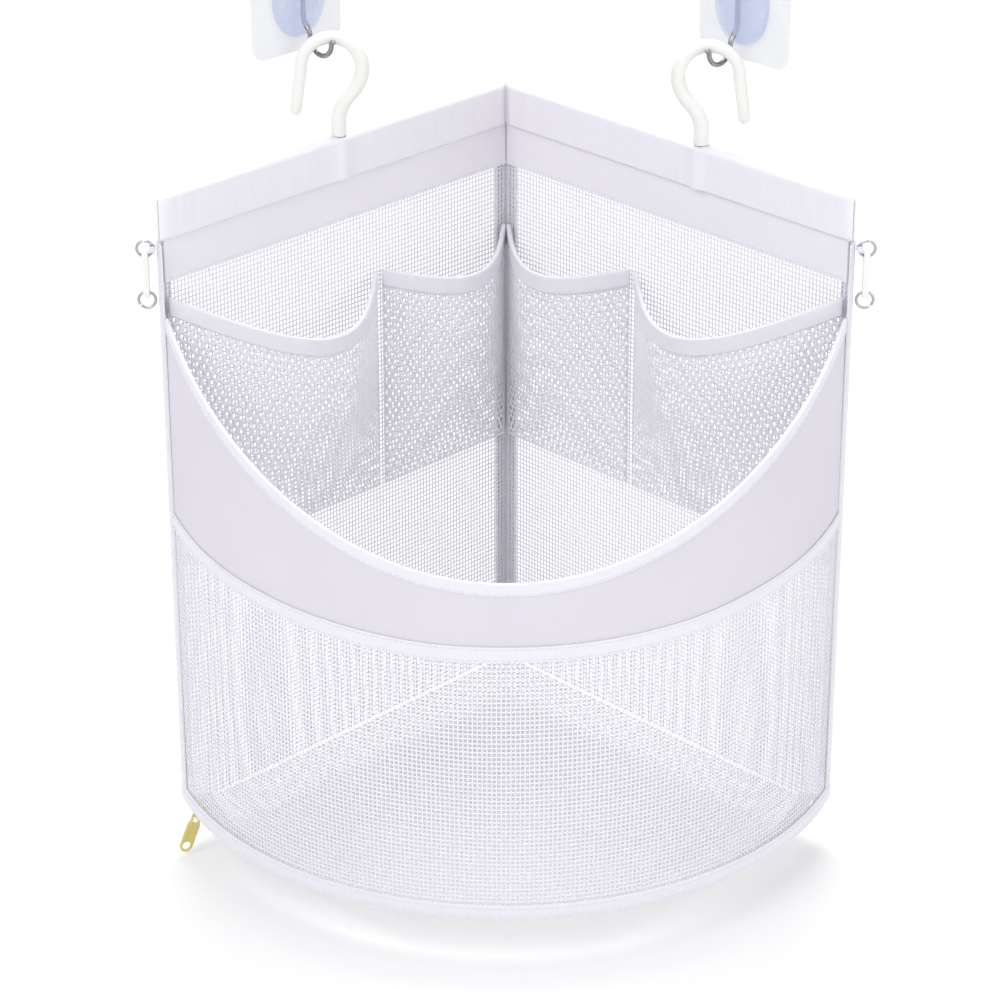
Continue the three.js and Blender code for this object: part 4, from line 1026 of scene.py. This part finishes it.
class Front(bpy.types.Operator):
    """Sheer front band, rim binding, waist tape and bottom hem"""

    bl_idname = "organizer.front"
    bl_label = "Front Band and Tapes"

    def execute(self, context):
        cloth = context.scene.organizer_cloth
        band = self.band(cloth.sheer)
        rim_width, hem_width = 7 * MM, 9 * MM
        rim = self.tape("rim_fold", TAPE_END, rim_width, 2.4 * MM, 1.0 * MM)
        lay(rim, along_front(rim_height, -rim_width / 2))
        waist = self.tape("waist_band", TAPE_END, 8.5 * MM, cloth.tape, 0.2 * MM)
        lay(waist, along_front(waist_height, off=0.75 * MM))
        hem = self.tape("lower_hem", FRONT_HALF, hem_width, 0.9 * MM, 0.3 * MM)
        on_foot = along_front(foot_height, hem_width / 2, 0.85 * MM)
        crown = 0.5 * MM
        lay(hem, lambda x, y, z: on_foot(x, y, z + crown * (1 - (2 * y / hem_width) ** 2)))
        for piece, node in ((rim, "rim_binding"), (waist, "waist_tape"), (hem, "bottom_hem")):
            sew(piece, "tape", node)
        return {"FINISHED"}

    def band(self, thickness):
        band = cloth_stock("sheer_front_band", FRONT_ARC, 1, 128, 20)

        def on_band(x, y, z):
            angle = x / FRONT_RADIUS
            low, high = waist_height(angle) + 0.2 * MM, rim_height(angle) - 1 * MM
            return on_front(angle, z, low + (y + 0.5) * (high - low))

        lay(band, on_band)
        mesh = band.data
        for corner, cut in zip(mesh.loops, mesh.uv_layers.active.uv):
            cut.vector.y = mesh.vertices[corner.vertex_index].co.z
        return sew(thicken(band, thickness), "sheer", "front_band")

    def tape(self, name, half_angle, width, thickness, soft):
        tape = cloth_stock(name, 2 * half_angle * FRONT_RADIUS, width, 120, 5, thickness)
        return round_edges(tape, min(soft, thickness * 0.45), 3)


class Pockets(bpy.types.Operator):
    """Four net pockets along the back panels, with folded tape on their mouths"""

    bl_idname = "organizer.pockets"
    bl_label = "Net Pockets"

    def execute(self, context):
        for side, side_name in SIDES:
            for kind, sizes in POCKETS.items():
                place, name = PocketPlace(side, **sizes), f"{kind}_{side_name}"
                net = sew(self.net(f"hex_{name}", place), "pocket", f"{name}_net")
                binding = sew(self.binding(f"{name}_mouth", place), "tape", f"{name}_binding")
        return {"FINISHED"}

    def net(self, name, place):
        sizes = bpy.context.scene.organizer_net
        pitch, merge, seam = sizes.pocket_pitch, 0.02 * MM, 1 * MM
        radius = pitch / math.sqrt(3)
        width, height = place.width, place.height
        net = begin(name, bpy.ops.mesh.primitive_circle_add, vertices=6, radius=radius, fill_type="NGON")
        edit((bpy.ops.mesh.duplicate_move, {
            "TRANSFORM_OT_translate": {"value": (pitch / 2, 1.5 * radius, 0)}}))
        joined = {"use_merge_vertices": True, "merge_threshold": merge}
        repeat(net, math.ceil(width / pitch) + 2, (pitch, 0, 0), **joined)
        repeat(net, math.ceil(height / (3 * radius)) + 2, (0, 3 * radius, 0), **joined)
        edit((bpy.ops.mesh.remove_doubles, {"threshold": merge}))
        start = np.array((pitch * 0.75, radius))
        end = start + (width, height)
        for point, normal in ((start, (-1, 0)), (start, (0, -1)), (end, (1, 0)), (end, (0, 1))):
            cut = {"plane_co": (*point, 0), "plane_no": (*normal, 0)}
            edit((bpy.ops.mesh.bisect, {**cut, "clear_outer": True, "clear_inner": False}))
        modify(net, "WIREFRAME", thickness=sizes.pocket_strand, use_even_offset=False, use_boundary=True)
        resize(1, 1, sizes.pocket_thickness / sizes.pocket_strand)

        def on_pocket(x, y, z):
            share = np.clip((x - start[0]) / width, 0, 1)
            top = place.mouth(place.panel_share(share)) - seam
            return place.at(share, POCKET_LOW + (y - start[1]) / height * (top - POCKET_LOW), z)

        return lay(net, on_pocket)

    def binding(self, name, place):
        tape = cloth_stock(name, place.width, POCKET_TAPE, 64, 6, 2.5 * MM)
        round_edges(tape, 1 * MM, 3)
        return lay(tape, lambda x, y, z: place.under_mouth(
            np.clip(x / place.width + 0.5, 0, 1), POCKET_TAPE / 2 - y, z))


class Seams(bpy.types.Operator):
    """Tape folded round the side edges and the corner edge of the bag"""

    bl_idname = "organizer.seams"
    bl_label = "Edge Bindings"

    def execute(self, context):
        self.tape = context.scene.organizer_cloth.tape
        foot = BAG_BOTTOM + 9.3 * MM
        for side, name in SIDES:
            self.binding(f"side_fold_{name}", side_place(side), foot, f"side_binding_{name}")
        self.binding("corner_fold", corner_place(), FLOOR_TOP + GAP, "corner_binding")
        return {"FINISHED"}

    def binding(self, name, place, low, node):
        high = HEM_LOW - GAP
        folded = cloth_stock(name, high - low, 2 * BINDING_LEG, 60, 16, self.tape)
        lay(folded, lambda x, y, z: (*place(y, z), (low + high) / 2 + x))
        sew(folded, "tape", node, degrees=60)


def wider_hole(points):
    """Opens the hole at the tip of the zip's pull as wide as the photo shows it."""
    tip, solid_hole, hole = 3.5 * MM, 1.9 * MM, 2.45 * MM
    centred = points - points.mean(axis=0)
    _, wide, long = np.linalg.eigh(centred.T @ centred)[1].T
    long = long if long[2] < 0 else -long
    along, across = centred @ long, centred @ wide
    along = along - (along.max() - tip)
    across = across - (across.max() + across.min()) / 2
    grow = np.where(np.hypot(along, across) < solid_hole + 0.1 * MM, hole / solid_hole - 1, 0)
    return points + np.outer(grow * along, long) + np.outer(grow * across, wide)


class Zip(bpy.types.Operator):
    """Zip tapes, interlocked teeth, stops, slider and pull"""

    bl_idname = "organizer.zip"
    bl_label = "Zip"

    def execute(self, context):
        inner = ZIP_RADIUS - ZIP_TAPE_GAP
        self.tape("outer", ZIP_RADIUS + ZIP_TAPE_GAP, FRONT_RADIUS)
        self.tape("inner", inner - ZIP_TAPE_WIDTH, inner)
        pitch, end_stop, start_stop = 3 * MM, 2.4 * MM, 2.3 * MM
        end = panel_angle(FRONT_RADIUS) * ZIP_RADIUS - 2.5 * MM
        start = start_stop - (end - 7.7 * MM)
        count = int((end - end_stop - start) / pitch - 1)
        self.teeth("outer", -1, start, pitch, count)
        self.teeth("inner", 1, start + pitch / 2, pitch, count)
        for node, name, body, bevel, reshape in (
            ("zip_stop_start", "start_stop", "bag", 0.35, None),
            ("zip_stop_end", "end_stop", "bag", 0.35, None),
            ("zip_slider", "slider_body", "zip_carriage", 0.25, None),
            ("zip_pull", "pull_tab", "zip_handle", 0.22, wider_hole),
        ):
            settle(own_copy(node, name, bevel * MM, reshape=reshape), body, "brass", node)
        return {"FINISHED"}

    def tape(self, name, low, high):
        tape = cloth_stock(f"zip_cloth_{name}", 2 * ZIP_RADIUS, high - low, 120, 4, 0.7 * MM)

        def on_edge(x, y, z):
            radius = (low + high) / 2 + y
            return on_zip(x / ZIP_RADIUS * panel_angle(radius), radius, z)

        sew(lay(tape, on_edge), "tape", f"zip_tape_{name}")

    def teeth(self, name, reach, first, pitch, count):
        """A row of teeth on its cord, which reaches out or in across the zip's middle line."""
        tooth = begin(f"zip_row_{name}", bpy.ops.mesh.primitive_cube_add, size=1)
        edit(
            (bpy.ops.transform.resize, {"value": (1.2 * MM, 2.8 * MM, 2.2 * MM)}),
            (bpy.ops.transform.translate, {"value": (0, -0.5 * MM, 0)}),
            (bpy.ops.mesh.bevel, {"offset": 0.28 * MM, "segments": 1, "affect": "EDGES"}),
        )
        repeat(tooth, count, (pitch, 0, 0))
        cord = cloth_stock("cord", (count + 0.5) * pitch, 0.7 * MM, 130, 1, 1.7 * MM)
        edit((bpy.ops.transform.translate, {"value": ((count - 1) * pitch / 2, -1.55 * MM, 0)}))
        row = join(f"zip_row_{name}", [tooth, cord])
        lay(row, lambda x, y, z: on_zip((first + x) / ZIP_RADIUS, ZIP_RADIUS + reach * y, z))
        sew(row, "teeth", f"zip_teeth_{name}", degrees=30)


class SideLoops(bpy.types.Operator):
    """Sewn loops, rings and tabs at the two side edges"""

    bl_idname = "organizer.side_loops"
    bl_label = "Side Loops and Rings"

    def execute(self, context):
        ring_x, ring_z, spacing = 178.3304 * MM, BAG_TOP - 28 * MM, 27.3 * MM
        gaps = {"upper": {-1: 100, 1: 70}, "lower": {-1: 220, 1: -50}}
        for side, name in SIDES:
            for level, body, radius, z in (
                ("upper", "bag", 4.05 * MM, ring_z),
                ("lower", f"{name}_ring", 4.25 * MM, ring_z - spacing),
            ):
                ring = self.ring(f"split_ring_{level}_{name}", side * ring_x, z, radius, gaps[level][side])
                settle(ring, body, "plate", f"{level}_ring_{name}")
            tab = own_copy(f"loop_tab_{name}", f"link_tab_{name}", 0.6 * MM, 3)
            settle(tab, f"{name}_tab", "plastic", f"loop_tab_{name}")
            loop = cloth_stock(f"ring_holder_{name}", 7.4 * MM, 3 * MM, 28, 4, 0.7 * MM)
            lay(loop, lambda u, v, lift: self.hairpin(side, ring_z, u, v, lift))
            sew(loop, "tape", f"ring_loop_{name}")
        return {"FINISHED"}

    def ring(self, name, x, z, radius, gap):
        """Ring of wire with its ends close together; gap is their place, in degrees."""
        angles = np.radians(np.linspace(gap + 6, gap + 354, 56))
        points = [(x + radius * math.cos(a), CHORD_Y, z + radius * math.sin(a)) for a in angles]
        return bar_along(name, points, 0.75 * MM, 14)

    def hairpin(self, side, z, u, v, lift):
        """Tape from the side binding round the ring's inner wire and back."""
        half, radius, back, bend = 3.7 * MM, 1.45 * MM, 173.23 * MM, 174.64 * MM
        turn = np.clip(u / radius, -math.pi / 2, math.pi / 2)
        straight = np.maximum(np.abs(u) - radius * math.pi / 2, 0)
        straight = straight * (bend - back) / (half - radius * math.pi / 2)
        x = bend - straight + (radius + lift) * np.cos(turn)
        return side * x, CHORD_Y + (radius + lift) * np.sin(turn), z + v


class Stitching(bpy.types.Operator):
    """Rows of stitches along the hems, bindings, pockets and tapes"""

    bl_idname = "organizer.stitching"
    bl_label = "Stitching"

    def execute(self, context):
        self.sizes = context.scene.organizer_stitch
        self.rows = []
        top = HEM_LOW - 2 * MM
        self.front_rows()
        self.zip_rows()
        for side, _ in SIDES:
            self.panel_rows(side)
            self.edge_rows(side_place(side), BAG_BOTTOM + 11 * MM, top)
            for sizes in POCKETS.values():
                self.pocket_rows(PocketPlace(side, **sizes))
        self.edge_rows(corner_place(), FLOOR_TOP + 2 * MM, top)
        sew(join("seam_stitches", self.rows), "thread", degrees=80)
        return {"FINISHED"}

    def row(self, length, place):
        """One row of stitches; place takes the distance along it, across it and off the cloth."""
        sizes = self.sizes
        count = max(2, int(length / sizes.pitch))
        add = bpy.ops.mesh.primitive_uv_sphere_add
        stitch = begin("stitch", add, segments=6, ring_count=4, radius=0.5)
        turn = {"value": math.pi / 2, "orient_axis": "Y", "center_override": (0, 0, 0)}
        edit((bpy.ops.transform.rotate, turn))
        resize(sizes.length, sizes.width, sizes.width * 0.8)
        repeat(stitch, count, (length / count, 0, 0))
        self.rows.append(lay(stitch, lambda x, y, z: place(x + length / count / 2, y, z)))

    def front_rows(self):
        for law, drop, off, half in (
            (rim_height, -5.6 * MM, 1.25 * MM, TAPE_END), (rim_height, -5.6 * MM, -1.25 * MM, TAPE_END),
            (waist_height, 2.9 * MM, 1.15 * MM, TAPE_END), (waist_height, -2.9 * MM, 1.15 * MM, TAPE_END),
            (foot_height, 7.2 * MM, 1.65 * MM, FRONT_HALF), (foot_height, 2.2 * MM, 1.65 * MM, FRONT_HALF),
        ):
            self.row(2 * half * FRONT_RADIUS, along_front(law, drop, off, half))

    def zip_rows(self):
        for radius in (ZIP_RADIUS - ZIP_TAPE_GAP - 7.6 * MM, FRONT_RADIUS - 1.1 * MM):
            half = panel_angle(radius)
            for lift in (-0.38 * MM, 0.38 * MM):
                self.row(2 * half * radius, lambda x, y, z: on_zip(x / radius - half, radius + y, lift + z))

    def panel_rows(self, side):
        start, length, inset = 4 * MM, PANEL_END - 6 * MM, 1.6 * MM
        for low, off in ((HEM_LOW, 1.5 * MM), (BAND_LOW, 0.52 * MM)):
            for face in (-1, 1):
                self.row(length, lambda x, y, z: on_panel(
                    side, start + x, face * off + z, low + inset + y))

    def edge_rows(self, place, low, high):
        for across in (-5.4 * MM, 5.4 * MM):
            self.row(high - low, lambda x, y, z: (*place(across + y, 0.38 * MM + z), low + x))

    def pocket_rows(self, place):
        inset, width, span = 1.2 * MM, place.width, place.stop - place.start
        self.row(width, lambda x, y, z: place.under_mouth(
            np.clip(x / width, 0, 1), POCKET_TAPE - inset - y, 1.3 * MM + z))
        self.row(span, lambda x, y, z: on_panel(
            place.side, place.start + x, POCKET_SEAT + 0.8 * MM + z, POCKET_LOW + inset + y))
        for along, share in ((place.start + 0.8 * MM, 0), (place.stop - 0.8 * MM, 1)):
            height = place.mouth(share) - POCKET_TAPE - 0.5 * MM - POCKET_LOW
            self.row(height, lambda x, y, z: on_panel(
                place.side, along + y, POCKET_SEAT + 1.6 * MM + z, POCKET_LOW + x))


class Stage(bpy.types.Operator):
    """Pale floor, soft light, white surroundings and the camera"""

    bl_idname = "organizer.stage"
    bl_label = "Stage"

    def execute(self, context):
        floor = begin("pale_floor", bpy.ops.mesh.primitive_plane_add, size=12, location=(0, 2, -0.4425))
        bpy.ops.object.transform_apply(location=True, rotation=True, scale=True)
        dress(floor, self.floor_finish())
        self.world(context)
        bag_front, bag_foot = (0, -0.2, -0.25), (0, 0.2, -0.44)
        self.lamp("key_light", (-1.1, -1.7, 1.5), bag_front, 1.4, 23)
        self.lamp("fill_light", (1.6, -1.3, 0.5), bag_front, 1.6, 10)
        self.lamp("top_light", (0, 0.6, 1.9), bag_foot, 1.0, 26)
        bpy.ops.object.camera_add(location=(0, -1.8023, 0.5415), rotation=(math.radians(64), 0, 0))
        camera = named("photo_camera")
        camera.data.lens = 125.1
        camera.data.shift_x = -0.006
        context.scene.camera = camera
        context.scene.view_settings.view_transform = "Standard"
        return {"FINISHED"}

    def seen(self, finish):
        """1 where the camera, a reflection or a clear piece looks at the surroundings."""
        camera = finish.node("ShaderNodeLightPath", output="Is Camera Ray")
        return camera.most(camera.beside("Is Glossy Ray")).most(camera.beside("Is Transmission Ray"))

    def between(self, finish, share, first, second):
        return finish.show(finish.node("ShaderNodeMixShader", {0: share, 1: first, 2: second}))

    def floor_finish(self):
        floor = Finish("pale_floor")
        seen = self.seen(floor)
        colour = floor.mix(floor.noise(3.0, 2.0), (0.92, 0.92, 0.92, 1), (0.94, 0.94, 0.94, 1))
        paint = floor.node("ShaderNodeBsdfDiffuse", {"Color": colour})
        glow = floor.node("ShaderNodeEmission", {"Color": (1, 1, 1, 1), "Strength": 1.0})
        return self.between(floor, seen * 0.3, paint, glow)

    def world(self, context):
        world = context.scene.world or bpy.data.worlds.new("studio")
        context.scene.world = world
        studio = Finish("studio", world)
        dim = studio.node("ShaderNodeBackground", {"Color": (0.98, 0.98, 1, 1), "Strength": 0.66})
        white = studio.node("ShaderNodeBackground", {"Color": (1, 1, 1, 1), "Strength": 1.0})
        self.between(studio, self.seen(studio), dim, white)

    def lamp(self, name, place, target, size, power):
        bpy.ops.object.light_add(type="AREA", location=place)
        lamp = named(name)
        x, y, z = np.array(target) - np.array(place)
        lamp.rotation_euler = (math.atan2(math.hypot(x, y), -z), 0, math.atan2(-x, y))
        lamp.data.size = size
        lamp.data.energy = power


class OrganizerPanel(bpy.types.Panel):
    """Sizes, colours and steps of the organizer"""

    bl_idname = "VIEW3D_PT_organizer"
    bl_label = "Bath Toy Organizer"
    bl_space_type = "VIEW_3D"
    bl_region_type = "UI"
    bl_category = "Organizer"

    def draw(self, context):
        layout = self.layout
        for title, _ in GROUPS:
            group = getattr(context.scene, title)
            box = layout.box()
            for prop in group.__annotations__:
                box.prop(group, prop)
        for operator in STEPS:
            layout.operator(operator.bl_idname)


GROUPS = (
    ("organizer_net", OrganizerNet), ("organizer_cloth", OrganizerCloth),
    ("organizer_stitch", OrganizerStitch), ("organizer_finish", OrganizerFinish),
)
STEPS = (Stage, WallKit, HangerHooks, TopHems, Nets, Front, Pockets, Seams, Zip, SideLoops, Stitching)


def register():
    for title, group in GROUPS:
        bpy.utils.register_class(group)
        setattr(bpy.types.Scene, title, PointerProperty(type=group))
    for step in (*STEPS, OrganizerPanel):
        bpy.utils.register_class(step)


def unregister():
    for step in reversed((*STEPS, OrganizerPanel)):
        bpy.utils.unregister_class(step)
    for title, group in reversed(GROUPS):
        delattr(bpy.types.Scene, title)
        bpy.utils.unregister_class(group)


def main():
    register()
    bpy.ops.organizer.stage()
    bpy.ops.organizer.wall_kit()
    bpy.ops.organizer.hanger_hooks()
    bpy.ops.organizer.top_hems()
    bpy.ops.organizer.nets()
    bpy.ops.organizer.front()
    bpy.ops.organizer.pockets()
    bpy.ops.organizer.seams()
    bpy.ops.organizer.zip()
    bpy.ops.organizer.side_loops()
    bpy.ops.organizer.stitching()


if __name__ == "__main__":
    main()
